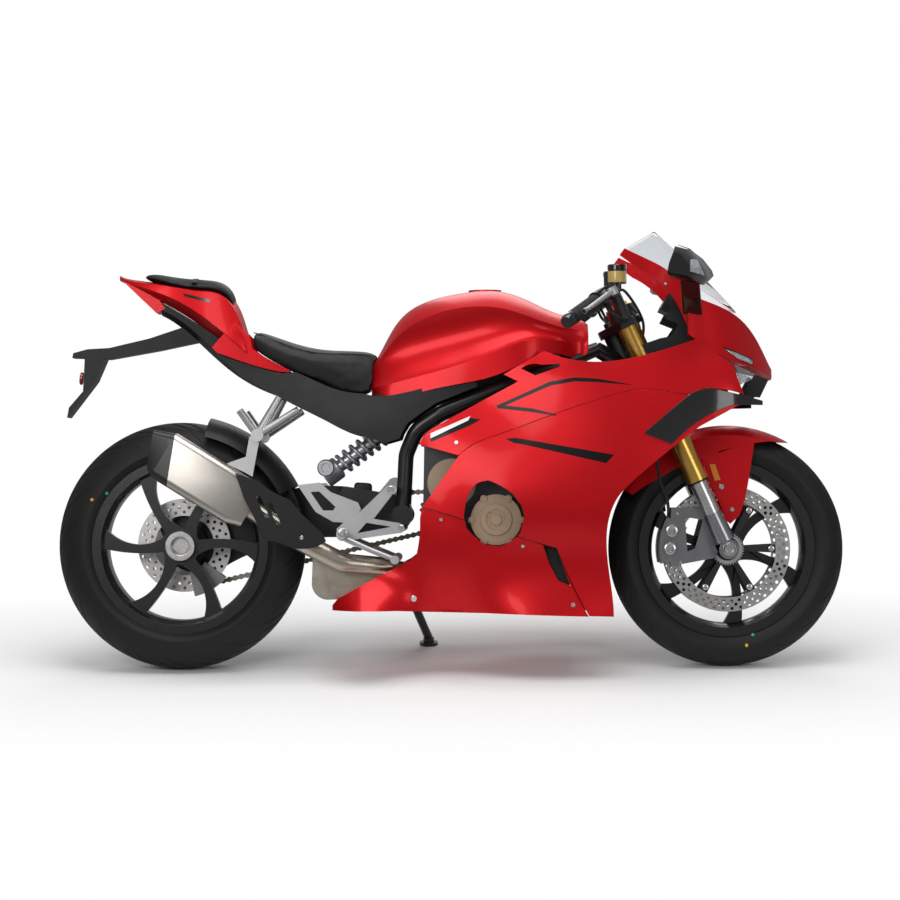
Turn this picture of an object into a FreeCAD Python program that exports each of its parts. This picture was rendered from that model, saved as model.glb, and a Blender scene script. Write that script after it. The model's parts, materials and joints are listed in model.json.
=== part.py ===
import FreeCAD, Part
import math
import os

# Sport motorcycle with a full fairing, parked on its side stand.
# The bike is built upright: x forward from the rear axle, y to the left, z up from the floor.
# At the end everything leans to the left by lean_angle onto the stand and moves to its origin,
# the middle of the bottom of the space that it takes up.

Vector = FreeCAD.Vector

# Driving dimensions, in millimetres and degrees
wheelbase = 1390.0
lean_angle = 10.0
rake_angle = 24.0
fork_offset = 32.0
running_gap = 1.0
seat_gap = 0.3
panel_gap = 1.5
panel_wall = 4.0
overrun = 20.0
same_point = 0.01

# Wheels and tyres
front_tyre_radius = 300.0
front_tyre_width = 120.0
front_crown_radius = 62.0
front_rim_width = 100.0
rear_tyre_radius = 315.0
rear_tyre_width = 180.0
rear_crown_radius = 92.0
rear_rim_width = 154.0
bead_radius = 219.0
flange_radius = 224.0
flange_wall = 5.0
rim_edge_radius = 201.0
rim_well_radius = 190.0
spoke_count = 6
spoke_root_width = 40.0
spoke_waist_width = 23.0
spoke_rim_width = 52.0
front_spoke_depth = 28.0
rear_spoke_depth = 34.0
front_hub_radius = 34.0
front_hub_length = 116.0
front_axle_radius = 12.5
front_axle_bore = 7.0
front_disc_radius = 160.0
front_disc_place = 64.0
front_disc_wall = 5.0
front_disc_band = 36.0
disc_carrier_arms = 6
rear_hub_radius = 48.0
rear_axle_radius = 30.0
rear_axle_bore = 24.0
rear_disc_radius = 120.0
rear_disc_place = 56.0
rear_disc_wall = 5.0
rear_disc_band = 44.0
rear_spoke_place = -38.0

# Fork, steering and handlebars
fork_spread = 210.0
fork_length = 672.0
outer_tube_radius = 28.5
inner_tube_radius = 22.5
outer_tube_start = 185.0
upper_clamp_place = 616.0
lower_clamp_place = 392.0
clamp_wall = 34.0
stem_radius = 17.0
stem_bore_radius = 8.0
hose_radius = 4.0
hose_bend = 30.0
stem_bore_depth = 60.0
head_tube_radius = 30.0
grip_radius = 17.0
grip_length = 122.0

# Frame, engine and rear suspension
spar_radius = 17.0
spar_spread = 140.0
pivot_height = 392.0
pivot_place = 566.0
pivot_radius = 26.0
pivot_spread = 120.0
swingarm_inner = 101.0
swingarm_outer = 138.0
chain_plane = 152.0
chain_width = 16.0
chain_height = 17.0
chain_pitch = 15.875
front_sprocket_radius = 40.0
rear_sprocket_radius = 105.0
shock_coil_radius = 30.0
coil_wire_radius = 5.0
coil_turns = 6

# Bodywork half widths
fairing_half_width = 240.0
tank_half_width = 160.0
seat_half_width = 130.0
tail_half_width = 95.0
pillion_half_width = 76.0
nose_half_width = 185.0
mirror_tip_height = 1000.0
mirror_tip_spread = 395.0

# Side stand
stand_pivot_place = 560.0
stand_pivot_spread = 150.0
stand_pivot_height = 225.0
stand_foot_place = 625.0
stand_foot_spread = 262.0
stand_leg_radius = 11.0
stand_foot_radius = 24.0
stand_foot_wall = 8.0
stand_lug_half = 13.0
stand_lug_radius = 17.0
stand_pin_radius = 7.0
stand_ear_wall = 8.0
stand_arm_radius = 8.0
stand_root_shares = (0.475, 0.195)

lean = math.radians(lean_angle)
rake = math.radians(rake_angle)
fork_up = Vector(-math.sin(rake), 0, math.cos(rake))
fork_ahead = Vector(math.cos(rake), 0, math.sin(rake))
front_height = front_tyre_radius - front_crown_radius + front_crown_radius / math.cos(lean)
rear_height = rear_tyre_radius - rear_crown_radius + rear_crown_radius / math.cos(lean)
front_axle = Vector(wheelbase, 0, front_height)
rear_axle = Vector(0, 0, rear_height)
steering_foot = front_axle - fork_ahead * fork_offset


def spot(x_share, z_share, y=0.0):
    """Point whose fore-aft place and height are shares of the wheelbase."""
    return Vector(x_share * wheelbase, y, z_share * wheelbase)


def curve_edge(points):
    """Straight edge between two points, circular arc through three, smooth curve through more."""
    if len(points) == 2:
        return Part.LineSegment(points[0], points[1]).toShape()
    if len(points) == 3:
        return Part.Arc(*points).toShape()
    curve = Part.BSplineCurve()
    curve.interpolate(points)
    return curve.toShape()


def closed_wire(runs):
    """Closed wire through runs of points: each run is one smooth edge, straight lines join them."""
    edges = []
    for index, run in enumerate(runs):
        if len(run) > 1:
            edges.append(curve_edge(run))
        following = runs[(index + 1) % len(runs)][0]
        if run[-1].distanceToPoint(following) > same_point:
            edges.append(Part.LineSegment(run[-1], following).toShape())
    return Part.Wire(edges)


def side_plate(outline_shares, inner, outer):
    """Plate with a side outline, between two distances from the middle plane."""
    runs = [[spot(x, z, inner) for x, z in run] for run in outline_shares]
    return Part.Face(closed_wire(runs)).extrude(Vector(0, outer - inner, 0))


def both_sides(solid):
    """The solid and its mirror image across the middle plane, as one compound."""
    return Part.makeCompound([solid, mirrored(solid)])


def mirrored(solid):
    """Mirror image of a solid across the bike's middle plane."""
    return solid.mirror(Vector(0, 0, 0), Vector(0, 1, 0))


def moved(solid, x, z):
    """Copy of a solid moved forwards by x and up by z."""
    other = solid.copy()
    other.translate(Vector(x, 0, z))
    return other


def cross_rod(x, z, start, end, radius):
    """Round bar along the left-right axis from y = start to y = end."""
    return Part.makeCylinder(radius, abs(end - start), Vector(x, min(start, end), z), Vector(0, 1, 0))


def bar(start, end, radius, end_radius=None):
    """Round bar, or tapered one, from one point to another."""
    along = end - start
    if end_radius is None or end_radius == radius:
        return Part.makeCylinder(radius, along.Length, start, along)
    return Part.makeCone(radius, end_radius, along.Length, start, along)


def tube(points, radius, bend):
    """Round tube of straight runs joined by elbows of the bend radius or the largest that fits."""
    fit_share = 0.45
    pieces = []
    start = points[0]
    for before, corner, after in zip(points, points[1:], points[2:]):
        back, ahead = before - corner, after - corner
        turn = math.pi - back.getAngle(ahead)
        reach = min(bend * math.tan(turn / 2), fit_share * back.Length, fit_share * ahead.Length)
        back.normalize()
        ahead.normalize()
        entry = corner + back * reach
        hinge = ahead.cross(back).normalize()
        middle = corner + (back + ahead).normalize() * (reach / math.sin(turn / 2))
        disc_face = Part.Face(Part.Wire(Part.makeCircle(radius, entry, back)))
        pieces.append(bar(start, entry, radius))
        pieces.append(disc_face.revolve(middle, hinge, math.degrees(turn)))
        start = corner + ahead * reach
    pieces.append(bar(start, points[-1], radius))
    return fused(*pieces)


def rounded_section(centre, across, up, half_across, half_up, corner_share):
    """Closed section of four straight sides and four round corners."""
    corner = corner_share * min(half_across, half_up)
    quarter = corner * (1 - math.sqrt(0.5))
    edges = []
    last = None
    for side_x, side_y in ((1, 1), (-1, 1), (-1, -1), (1, -1)):
        flat_x, flat_y = half_across - corner, half_up - corner
        upright = centre + across * (side_x * half_across) + up * (side_y * flat_y)
        level = centre + across * (side_x * flat_x) + up * (side_y * half_up)
        middle = centre + across * (side_x * (half_across - quarter)) + up * (side_y * (half_up - quarter))
        first, second = (upright, level) if side_x * side_y > 0 else (level, upright)
        if last is not None:
            edges.append(Part.LineSegment(last, first).toShape())
        else:
            opening = first
        edges.append(Part.Arc(first, middle, second).toShape())
        last = second
    edges.append(Part.LineSegment(last, opening).toShape())
    return Part.Wire(edges)


def rounded_loft(stations, across, up, corner_share, ruled=False):
    """Solid through rounded sections, each given as centre, half across and half up."""
    sections = [rounded_section(centre, across, up, wide, tall, corner_share)
                for centre, wide, tall in stations]
    return Part.makeLoft(sections, True, ruled)


def turned(profile_runs, centre, start=0.0, sweep=360.0):
    """Solid turned about the left-right axis through centre, from runs of (radius, y) points."""
    runs = [[Vector(radius, y, 0) for radius, y in run] for run in profile_runs]
    face = Part.Face(closed_wire(runs))
    face.rotate(Vector(0, 0, 0), Vector(0, 1, 0), -start)
    solid = face.revolve(Vector(0, 0, 0), Vector(0, 1, 0), -sweep)
    solid.translate(centre)
    return solid


def smooth_surface(rows):
    """Smooth surface through a grid of points."""
    surface = Part.BSplineSurface()
    surface.interpolate(rows)
    return surface


def fused(*solids):
    """One solid from pieces that run into each other."""
    whole = solids[0]
    for solid in solids[1:]:
        whole = whole.fuse(solid)
    tidy = whole.removeSplitter()
    return tidy if tidy.isValid() else whole


def spaced(run, x_way, z_way):
    """Run of an outline moved half a panel gap along x_way and z_way, each 1, 0 or -1."""
    half = panel_gap / 2 / wheelbase
    return [(x + x_way * half, z + z_way * half) for x, z in run]


# Wheels

def tyre(centre, radius, width, crown, rim_width):
    """Tyre ring: a crown of chords, with corners where it meets the floor, on its two beads."""
    half = width / 2
    bead_half = rim_width / 2 - flange_wall - seat_gap
    reach = math.asin(half / crown)
    crown_points = []
    for turn in (-reach, -(lean + reach) / 2, -lean, lean, (lean + reach) / 2, reach):
        crown_points.append([(radius - crown * (1 - math.cos(turn)), crown * math.sin(turn))])
    return turned(crown_points + [[(bead_radius, bead_half)], [(bead_radius, -bead_half)]], centre)


def wheel_barrel(centre, rim_width):
    """Rim ring: two lips that spread outwards, a seat for the beads and a well inside."""
    half = rim_width / 2
    seat = bead_radius - seat_gap
    inner_half = half - flange_wall
    runs = [[(flange_radius, -half)], [(seat, -inner_half)], [(seat, inner_half)],
            [(flange_radius, half)], [(rim_edge_radius, half)], [(rim_well_radius, half / 2)],
            [(rim_well_radius, -half / 2)], [(rim_edge_radius, -half)]]
    return turned(runs, centre)


def spokes(centre, root_radius, place, depth, first_angle, rim_dip):
    """Six swept spokes that flare where they run into the rim."""
    tip = rim_well_radius + rim_dip
    span = tip - root_radius
    waist_share, lead_share = 0.5, 0.12
    lead = lead_share * span
    right = [(root_radius, -spoke_root_width / 2),
             (root_radius + waist_share * span, lead - spoke_waist_width / 2),
             (tip, -spoke_rim_width / 2)]
    left = [(tip, spoke_rim_width / 2),
            (root_radius + waist_share * span, lead + spoke_waist_width / 2),
            (root_radius, spoke_root_width / 2)]
    runs = [[Vector(x, place - depth / 2, z) for x, z in right],
            [Vector(x, place - depth / 2, z) for x, z in left]]
    blade = Part.Face(closed_wire(runs)).extrude(Vector(0, depth, 0))
    blades = []
    for number in range(spoke_count):
        copy = blade.copy()
        copy.rotate(Vector(0, 0, 0), Vector(0, 1, 0), -first_angle - number * 360 / spoke_count)
        copy.translate(centre)
        blades.append(copy)
    return blades


def front_rim():
    """Front wheel: barrel, six spokes and a hub bored for the axle."""
    half_hub = front_hub_length / 2
    hub = cross_rod(front_axle.x, front_axle.z, -half_hub, half_hub, front_hub_radius)
    collar = cross_rod(front_axle.x, front_axle.z, -front_spoke_depth, front_spoke_depth,
                       front_hub_radius + flange_wall)
    bore = cross_rod(front_axle.x, front_axle.z, -half_hub - overrun, half_hub + overrun,
                     front_axle_radius + running_gap)
    blades = spokes(front_axle, front_hub_radius, 0, front_spoke_depth, 34.0, flange_wall)
    return fused(wheel_barrel(front_axle, front_rim_width), hub, collar, *blades).cut(bore)


def rear_rim():
    """Rear wheel: barrel, spokes near the right face and a deep hub open to the left."""
    face = rear_spoke_place - rear_spoke_depth / 2
    hub = cross_rod(0, rear_height, face, rear_disc_place - rear_disc_wall, rear_hub_radius)
    bore = cross_rod(0, rear_height, face - overrun, rear_disc_place + overrun,
                     rear_axle_radius + running_gap)
    blades = spokes(rear_axle, rear_hub_radius - flange_wall, rear_spoke_place, rear_spoke_depth,
                    -6.0, flange_wall)
    return fused(wheel_barrel(rear_axle, rear_rim_width), hub, *blades).cut(bore)


def disc(centre, place, radius, wall, band, hub_radius, hub_bore):
    """Brake disc: a flat band on six tapered carrier arms round a mounting ring."""
    start = place - wall / 2
    inner = radius - band
    ring = cross_rod(centre.x, centre.z, start, start + wall, radius)
    ring = ring.cut(cross_rod(centre.x, centre.z, start - overrun, start + wall + overrun, inner))
    boss = cross_rod(centre.x, centre.z, start, start + wall, hub_radius + carrier_ring_wall)
    root, tip = hub_radius, inner + wall
    corners = [Vector(root, start, -carrier_root_half), Vector(tip, start, -carrier_tip_half),
               Vector(tip, start, carrier_tip_half), Vector(root, start, carrier_root_half)]
    arm = Part.Face(Part.makePolygon(corners + [corners[0]])).extrude(Vector(0, wall, 0))
    solids = [ring, boss]
    for number in range(disc_carrier_arms):
        copy = arm.copy()
        copy.rotate(Vector(0, 0, 0), Vector(0, 1, 0), number * 360 / disc_carrier_arms)
        copy.translate(Vector(centre.x, 0, centre.z))
        solids.append(copy)
    bore = cross_rod(centre.x, centre.z, start - overrun, start + wall + overrun, hub_bore)
    return fused(*solids).cut(bore)


carrier_ring_wall = 9.0
carrier_root_half = 6.0
carrier_tip_half = 11.0


def front_discs():
    """Two front discs, on the two ends of the hub."""
    bore = front_hub_radius - flange_wall
    place = front_hub_length / 2 + front_disc_wall / 2 + seat_gap
    left = disc(front_axle, place, front_disc_radius, front_disc_wall, front_disc_band,
                front_hub_radius, bore)
    return both_sides(left)


def rear_disc():
    """Rear disc on the left end of the wheel's hub."""
    place = rear_disc_place - rear_disc_wall / 2 + seat_gap
    return disc(rear_axle, place, rear_disc_radius, rear_disc_wall, rear_disc_band,
                rear_hub_radius, rear_axle_radius + running_gap)


def toothed_wheel(centre, radius, start, wall):
    """Sprocket plate whose teeth stand at the chain's pitch, from y = start."""
    teeth = round(2 * math.pi * radius / chain_pitch)
    root = radius - tooth_height
    corners = []
    for number in range(teeth):
        for place_share, reach in tooth_shares:
            turn = 2 * math.pi * (number + place_share) / teeth
            size = root + reach * tooth_height
            corners.append(centre + Vector(size * math.cos(turn), start, size * math.sin(turn)))
    return Part.Face(Part.makePolygon(corners + [corners[0]])).extrude(Vector(0, wall, 0))


tooth_shares = [(0.0, 0.0), (0.35, 1.0), (0.65, 1.0)]
tooth_height = 6.0


def rear_drive():
    """Hollow rear axle with the wheel nut at its right end and the sprocket at its left end."""
    nut_end = rear_spoke_place - rear_spoke_depth / 2 - nut_length
    left_end = chain_plane + chain_width
    axle = cross_rod(0, rear_height, nut_end, left_end, rear_axle_radius)
    nut = cross_rod(0, rear_height, nut_end, nut_end + nut_length - seat_gap, nut_radius)
    plate_start = chain_plane - sprocket_wall / 2
    sprocket = toothed_wheel(rear_axle, rear_sprocket_radius, plate_start, sprocket_wall)
    bore = cross_rod(0, rear_height, nut_end - overrun, left_end + overrun, rear_axle_bore)
    return fused(axle, nut, sprocket).cut(bore)


nut_length = 26.0
nut_radius = 37.0
sprocket_wall = 6.0


# Fork and steering

def on_fork(distance, y=0.0, ahead=0.0):
    """Point on the fork, its distance from the axle along the legs and ahead across them."""
    return front_axle + fork_up * distance + fork_ahead * ahead + Vector(0, y, 0)


def on_stem(distance, ahead=0.0):
    """Point on the steering axis, at the same distances as on the legs."""
    return steering_foot + fork_up * distance + fork_ahead * ahead


def fork_legs():
    """Two upside-down fork legs: wide upper tubes, slim lower tubes and axle feet."""
    half = fork_spread / 2
    upper = bar(on_fork(outer_tube_start, half), on_fork(fork_length, half), outer_tube_radius)
    cap = bar(on_fork(fork_length, half), on_fork(fork_length + cap_height, half),
              outer_tube_radius - flange_wall)
    lower = bar(on_fork(foot_reach / 2, half), on_fork(outer_tube_start + overrun, half),
                inner_tube_radius)
    foot = cross_rod(front_axle.x, front_axle.z, half - foot_width / 2, half + foot_width / 2,
                     foot_radius)
    sleeve = bar(on_fork(front_axle_radius + nut_wall, half), on_fork(foot_reach, half),
                 inner_tube_radius + flange_wall, inner_tube_radius + running_gap)
    bore = cross_rod(front_axle.x, front_axle.z, half - foot_width, half + foot_width,
                     front_axle_radius + seat_gap)
    return both_sides(fused(upper, cap, lower, foot, sleeve).cut(bore))


cap_height = 8.0
foot_reach = 100.0
foot_width = 44.0
foot_radius = 25.0


def front_axle_bar():
    """Hollow front axle with a nut at each end outside the fork feet."""
    half = fork_spread / 2 + foot_width / 2 + nut_wall
    whole = cross_rod(front_axle.x, front_axle.z, -half, half, front_axle_radius)
    nut_start = fork_spread / 2 + foot_width / 2 + seat_gap
    nut = cross_rod(front_axle.x, front_axle.z, nut_start, half, front_axle_radius + flange_wall)
    bore = cross_rod(front_axle.x, front_axle.z, -half - overrun, half + overrun, front_axle_bore)
    return fused(whole, nut, mirrored(nut)).cut(bore)


nut_wall = 10.0


def clamp_plate(distance, wall):
    """Flat fork clamp round both legs and the steering stem."""
    half = fork_spread / 2
    reach = outer_tube_radius + clamp_margin
    base = on_fork(distance)
    corners = [base + Vector(0, y, 0) + fork_ahead * ahead for y, ahead in
               [(-half - reach, -reach / 2), (-half, -reach), (-stem_radius * 2, -reach - fork_offset),
                (stem_radius * 2, -reach - fork_offset), (half, -reach), (half + reach, -reach / 2),
                (half + reach, reach / 2), (half, reach), (-half, reach), (-half - reach, reach / 2)]]
    plate = Part.Face(Part.makePolygon(corners + [corners[0]])).extrude(fork_up * wall)
    for side in (-half, half):
        start = on_fork(distance - overrun, side)
        plate = plate.cut(bar(start, start + fork_up * (wall + 2 * overrun),
                              outer_tube_radius + seat_gap))
    return plate


clamp_margin = 9.0


def fork_clamps():
    """Upper and lower clamp joined by the hollow steering stem."""
    upper = clamp_plate(upper_clamp_place, clamp_wall * 0.6)
    lower = clamp_plate(lower_clamp_place, clamp_wall)
    stem = bar(on_stem(lower_clamp_place), on_stem(upper_clamp_place + clamp_wall), stem_radius)
    bore = bar(on_stem(lower_clamp_place - overrun), on_stem(lower_clamp_place + stem_bore_depth),
               stem_bore_radius)
    return fused(upper, lower, stem).cut(bore)


def handlebar(side):
    """Clip-on bar: ring and riser at the leg, bar, grip, bar end, switch box, lever, reservoir."""
    half = fork_spread / 2
    ring_start = on_fork(clip_place, half)
    ring = bar(ring_start, ring_start + fork_up * clip_width, outer_tube_radius + clamp_margin)
    hole = bar(ring_start - fork_up * overrun, on_fork(fork_length + cap_height + running_gap, half),
               outer_tube_radius + seat_gap)
    side_reach = half + outer_tube_radius + bar_radius
    root = on_fork(clip_place + bar_lift, side_reach)
    riser = bar(on_fork(clip_place, side_reach), root + fork_up * bar_radius, bar_radius + flange_wall)
    way = Vector(-math.sin(bar_sweep) * math.cos(bar_drop), math.cos(bar_sweep) * math.cos(bar_drop),
                 -math.sin(bar_drop))
    grip_start = root + way * bar_reach
    grip_end = grip_start + way * grip_length
    rod = bar(root, grip_end, bar_radius)
    grip = bar(grip_start, grip_end, grip_radius)
    flange = bar(grip_start - way * flange_wall, grip_start, grip_radius + flange_wall)
    end = bar(grip_end, grip_end + way * bar_end_length, grip_radius - flange_wall / 2)
    box_middle = grip_start - way * (switch_length / 2 + flange_wall)
    forward = way.cross(fork_up).normalize()
    lift = forward.cross(way).normalize() * -1
    corner = box_middle - way * (switch_length / 2) - forward * switch_half - lift * switch_half
    box_face = Part.makePolygon([corner, corner + forward * (2 * switch_half),
                                 corner + (forward + lift) * (2 * switch_half),
                                 corner + lift * (2 * switch_half), corner])
    box = Part.Face(box_face).extrude(way * switch_length)
    pivot = box_middle + forward * lever_ahead
    tip = grip_end + forward * (lever_ahead * 0.9) - way * (grip_length * 0.12)
    perch = bar(box_middle, pivot, bar_radius)
    pin = bar(pivot - fork_up * bar_radius * 1.4, pivot + fork_up * bar_radius * 1.4, bar_radius * 1.25)
    lever = bar(pivot, tip, lever_radius, lever_radius * 0.7)
    cup_foot = root + Vector(lever_radius * 2, -reservoir_inset, reservoir_stalk)
    stalk = bar(root, cup_foot + Vector(0, 0, flange_wall), lever_radius)
    cup = bar(cup_foot, cup_foot + Vector(0, 0, reservoir_height), reservoir_radius)
    whole = fused(ring, riser, rod, grip, flange, end, box, perch, pin, lever, stalk, cup).cut(hole)
    return whole if side > 0 else mirrored(whole)


clip_place = 637.5
clip_width = 32.0
bar_sweep = math.radians(35.0)
bar_drop = math.radians(23.5)
bar_lift = 82.0
bar_reach = 82.0
bar_radius = 11.0
bar_end_length = 28.0
switch_length = 44.0
switch_half = 18.0
lever_ahead = 38.0
lever_radius = 7.0
reservoir_inset = 16.0
reservoir_stalk = 14.0
reservoir_height = 48.0
reservoir_radius = 23.0


def fender_arch(centre, inner, half, crown, wall, drop, start, end):
    """Curved guard over a tyre: an arched section turned about the axle from start to end."""
    top = inner + wall
    fall_share, spread_share = 0.4, 0.9
    fall, spread = crown * fall_share, half * spread_share
    runs = [[(inner - drop, -half - wall)], [(top - fall, -spread - wall), (top, 0), (top - fall, spread + wall)],
            [(inner - drop, half + wall)], [(inner - drop, half)],
            [(inner - fall, spread), (inner, 0), (inner - fall, -spread)], [(inner - drop, -half)]]
    return turned(runs, centre, start, end - start)


fender_plate_shares = [
    [(0.952, 0.385)], [(0.985, 0.392), (1.018, 0.403), (1.050, 0.411)],
    [(1.047, 0.389), (1.041, 0.353), (1.032, 0.307), (1.021, 0.276)],
    [(1.005, 0.262)], [(0.996, 0.270), (0.986, 0.300), (0.970, 0.330)]]


def front_fender():
    """Front guard with its two side plates that bolt to the fork legs."""
    inner = front_tyre_radius + fender_clearance
    half = front_tyre_width / 2 + fender_clearance
    arch = fender_arch(front_axle, inner, half, front_crown_radius, fender_wall, fender_drop,
                       fender_front_angle, fender_rear_angle)
    for sweep_shares in (fender_front_sweep_shares, fender_rear_sweep_shares):
        arch = arch.cut(side_plate(sweep_shares, -half - overrun, half + overrun))
    plate = side_plate(fender_plate_shares, half, half + fender_wall)
    return fused(arch, plate, mirrored(plate))


fender_front_sweep_shares = [
    [(0.985, 0.395)], [(1.046, 0.409)], [(1.075, 0.4125)], [(1.128, 0.4095)], [(1.200, 0.400)], [(1.200, 0.250)],
    [(0.985, 0.250)]]
fender_rear_sweep_shares = [
    [(0.700, 0.300)], [(0.8204, 0.3114)], [(0.8454, 0.3295)], [(0.9063, 0.3639)], [(0.941, 0.3747)],
    [(0.960, 0.3760)], [(0.960, 0.250)], [(0.700, 0.250)]]
fender_clearance = 11.0
fender_wall = 3.5
fender_drop = 74.0
fender_front_angle = 56.0
fender_rear_angle = 150.0


def split_caliper(centre, radius, band, wall, start, end):
    """Caliper body round a disc, with the slot in which the disc runs."""
    outer, inner = radius + caliper_wall, radius - band - caliper_wall / 2
    half = wall / 2 + caliper_half
    body = turned([[(inner, -half)], [(outer, -half)], [(outer, half)], [(inner, half)]],
                  centre, start, end - start)
    slot_half, slot_top = wall / 2 + running_gap, radius + 2 * running_gap
    slot = turned([[(inner - overrun, -slot_half)], [(slot_top, -slot_half)],
                   [(slot_top, slot_half)], [(inner - overrun, slot_half)]],
                  centre, start - overrun, end - start + 2 * overrun)
    return body.cut(slot)


def front_calipers():
    """Two four-piston calipers, each on a triangular bracket behind its fork foot."""
    place = front_hub_length / 2 + front_disc_wall / 2 + seat_gap
    lug = Vector(front_axle.x, place, front_axle.z)
    start, end = front_caliper_angles
    solids = [split_caliper(lug, front_disc_radius, front_disc_band, front_disc_wall, start, end)]
    face = place + front_disc_wall / 2 + caliper_half
    for x_share, z_share in piston_shares:
        centre = spot(x_share, z_share)
        solids.append(cross_rod(centre.x, centre.z, face - flange_wall, face + cap_depth_front,
                                piston_radius))
    bracket_start = place + front_disc_wall / 2 + running_gap
    bracket = side_plate(bracket_shares, face - bracket_wall, face)
    solids.append(bracket.cut(side_plate(bracket_hole_shares, bracket_start, face + overrun)))
    for x_share, z_share in bracket_lug_shares:
        solids.append(bar(spot(x_share, z_share, face - flange_wall),
                          spot(x_share, z_share, fork_spread / 2), arm_radius))
    left = fused(*solids)
    left = left.cut(bar(on_fork(0, fork_spread / 2), on_fork(outer_tube_start, fork_spread / 2),
                        inner_tube_radius + flange_wall + seat_gap))
    left = left.cut(cross_rod(front_axle.x, front_axle.z, fork_spread / 2 - foot_width / 2 - seat_gap,
                              fork_spread, foot_radius + seat_gap))
    solids = sorted(left.Solids, key=lambda solid: solid.Volume)
    return both_sides(solids[-1])


front_caliper_angles = (152.0, 192.0)
piston_shares = [(0.8985, 0.2555), (0.8955, 0.2225)]
bracket_shares = [[(0.897, 0.292)], [(0.975, 0.293)], [(0.990, 0.225)], [(0.975, 0.200)], [(0.897, 0.186)],
                  [(0.893, 0.200)]]
bracket_hole_shares = [[(0.922, 0.275)], [(0.955, 0.270)], [(0.940, 0.218)], [(0.926, 0.212)]]
bracket_lug_shares = [(0.968, 0.285), (0.980, 0.218)]
bracket_wall = 9.0
cap_depth_front = 4.0


caliper_wall = 14.0
caliper_half = 24.0
piston_radius = 17.0
arm_radius = 9.0


hose_route = [(148.0, -98.0, 90.0), (182.0, -88.0, 104.0), (226.0, -88.0, 110.0), (270.0, -76.0, 110.0),
              (332.0, -56.0, 108.0), (lower_clamp_place - hose_radius, -outer_tube_radius - hose_radius,
                                      fork_spread / 2)]


def brake_hoses():
    """Brake hose from each caliper up behind the fork leg to the lower clamp."""
    points = [on_fork(distance, y, ahead) for distance, ahead, y in hose_route]
    caliper = front_calipers().Solids[0]
    hose = tube(points, hose_radius, hose_bend).cut(caliper)
    return both_sides(sorted(hose.Solids, key=lambda solid: solid.Volume)[-1])


# Frame, engine and drive

spar_path_shares = [(0.765, 0.30, 0.585), (0.690, 0.62, 0.553), (0.585, 0.92, 0.512),
                    (0.478, 1.00, 0.468), (0.432, 0.98, 0.438), (0.413, 0.90, 0.393),
                    (0.407, 0.86, 0.282)]


def frame_rail(margin):
    """Left main tube and its pivot boss, larger all round by the margin that a neighbour keeps."""
    points = [spot(x, z, y * spar_spread) for x, y, z in spar_path_shares]
    rail = tube(points, spar_radius + margin, spar_bend)
    boss = cross_rod(pivot_place, pivot_height, pivot_spread - boss_half - margin,
                     pivot_spread + boss_half + margin, pivot_radius + margin)
    return fused(rail, boss)


def frame_spar(side):
    """Round main tube from the steering head, past the engine and down to the swingarm pivot."""
    return frame_rail(0) if side > 0 else mirrored(frame_rail(0))


spar_bend = 70.0
boss_half = 20.0


def steering_head():
    """Tube round the steering stem with two gusset arms that reach the main tubes."""
    start = on_stem(lower_clamp_place + clamp_wall + seat_gap)
    end = on_stem(upper_clamp_place - seat_gap)
    head = bar(start, end, head_tube_radius)
    bore = bar(start - fork_up * overrun, end + fork_up * overrun, stem_radius + seat_gap)
    middle = (start + end) * 0.5
    x, y, z = spar_path_shares[0]
    spar_end = spot(x, z, y * spar_spread)
    arm = bar(middle, spar_end, spar_radius + flange_wall, spar_radius)
    whole = fused(head, arm, mirrored(arm)).cut(bore)
    way = spot(*spar_path_shares[1][::2], spar_path_shares[1][1] * spar_spread) - spar_end
    trim = bar(spar_end, spar_end + way, spar_radius + seat_gap)
    return whole.cut(trim).cut(mirrored(trim))


crankcase_shares = [
    [(0.448, 0.430)], [(0.444, 0.250), (0.456, 0.200), (0.500, 0.175)], [(0.640, 0.165)],
    [(0.672, 0.215)], [(0.668, 0.330)], [(0.640, 0.350)], [(0.560, 0.395)], [(0.470, 0.450)]]
cylinder_shares = [
    [(0.560, 0.390)], [(0.640, 0.345)], [(0.742, 0.440)], [(0.735, 0.480)], [(0.690, 0.515)],
    [(0.630, 0.500)]]


def engine_block():
    """Crankcase, inclined cylinder bank and round side covers, as one closed block."""
    case = side_plate(crankcase_shares, -case_half, case_half)
    bank = side_plate(cylinder_shares, -bank_half, bank_half)
    stator = cross_rod(cover_place * wheelbase, cover_height * wheelbase, case_half - flange_wall,
                       case_half + cover_depth, clutch_radius)
    neck = cross_rod(cover_place * wheelbase, cover_height * wheelbase, -case_half - cover_depth,
                     -case_half + flange_wall, clutch_radius * 0.9)
    starter = spot(*starter_cover_shares)
    dome = cross_rod(starter.x, starter.z, -case_half - starter_cover_depth, -case_half + flange_wall,
                     starter_cover_radius)
    rim = cross_rod(starter.x, starter.z, -case_half - starter_cover_depth / 2, -case_half + flange_wall,
                    starter_cover_radius + flange_wall)
    return fused(case, bank, stator, neck, dome, rim, stand_bracket())


starter_cover_shares = (0.497, 0.340)
starter_cover_radius = 60.0
starter_cover_depth = 22.0
case_half = 128.0
bank_half = 112.0
cover_depth = 24.0
clutch_radius = 64.0
cover_place = 0.577
cover_height = 0.273


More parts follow.
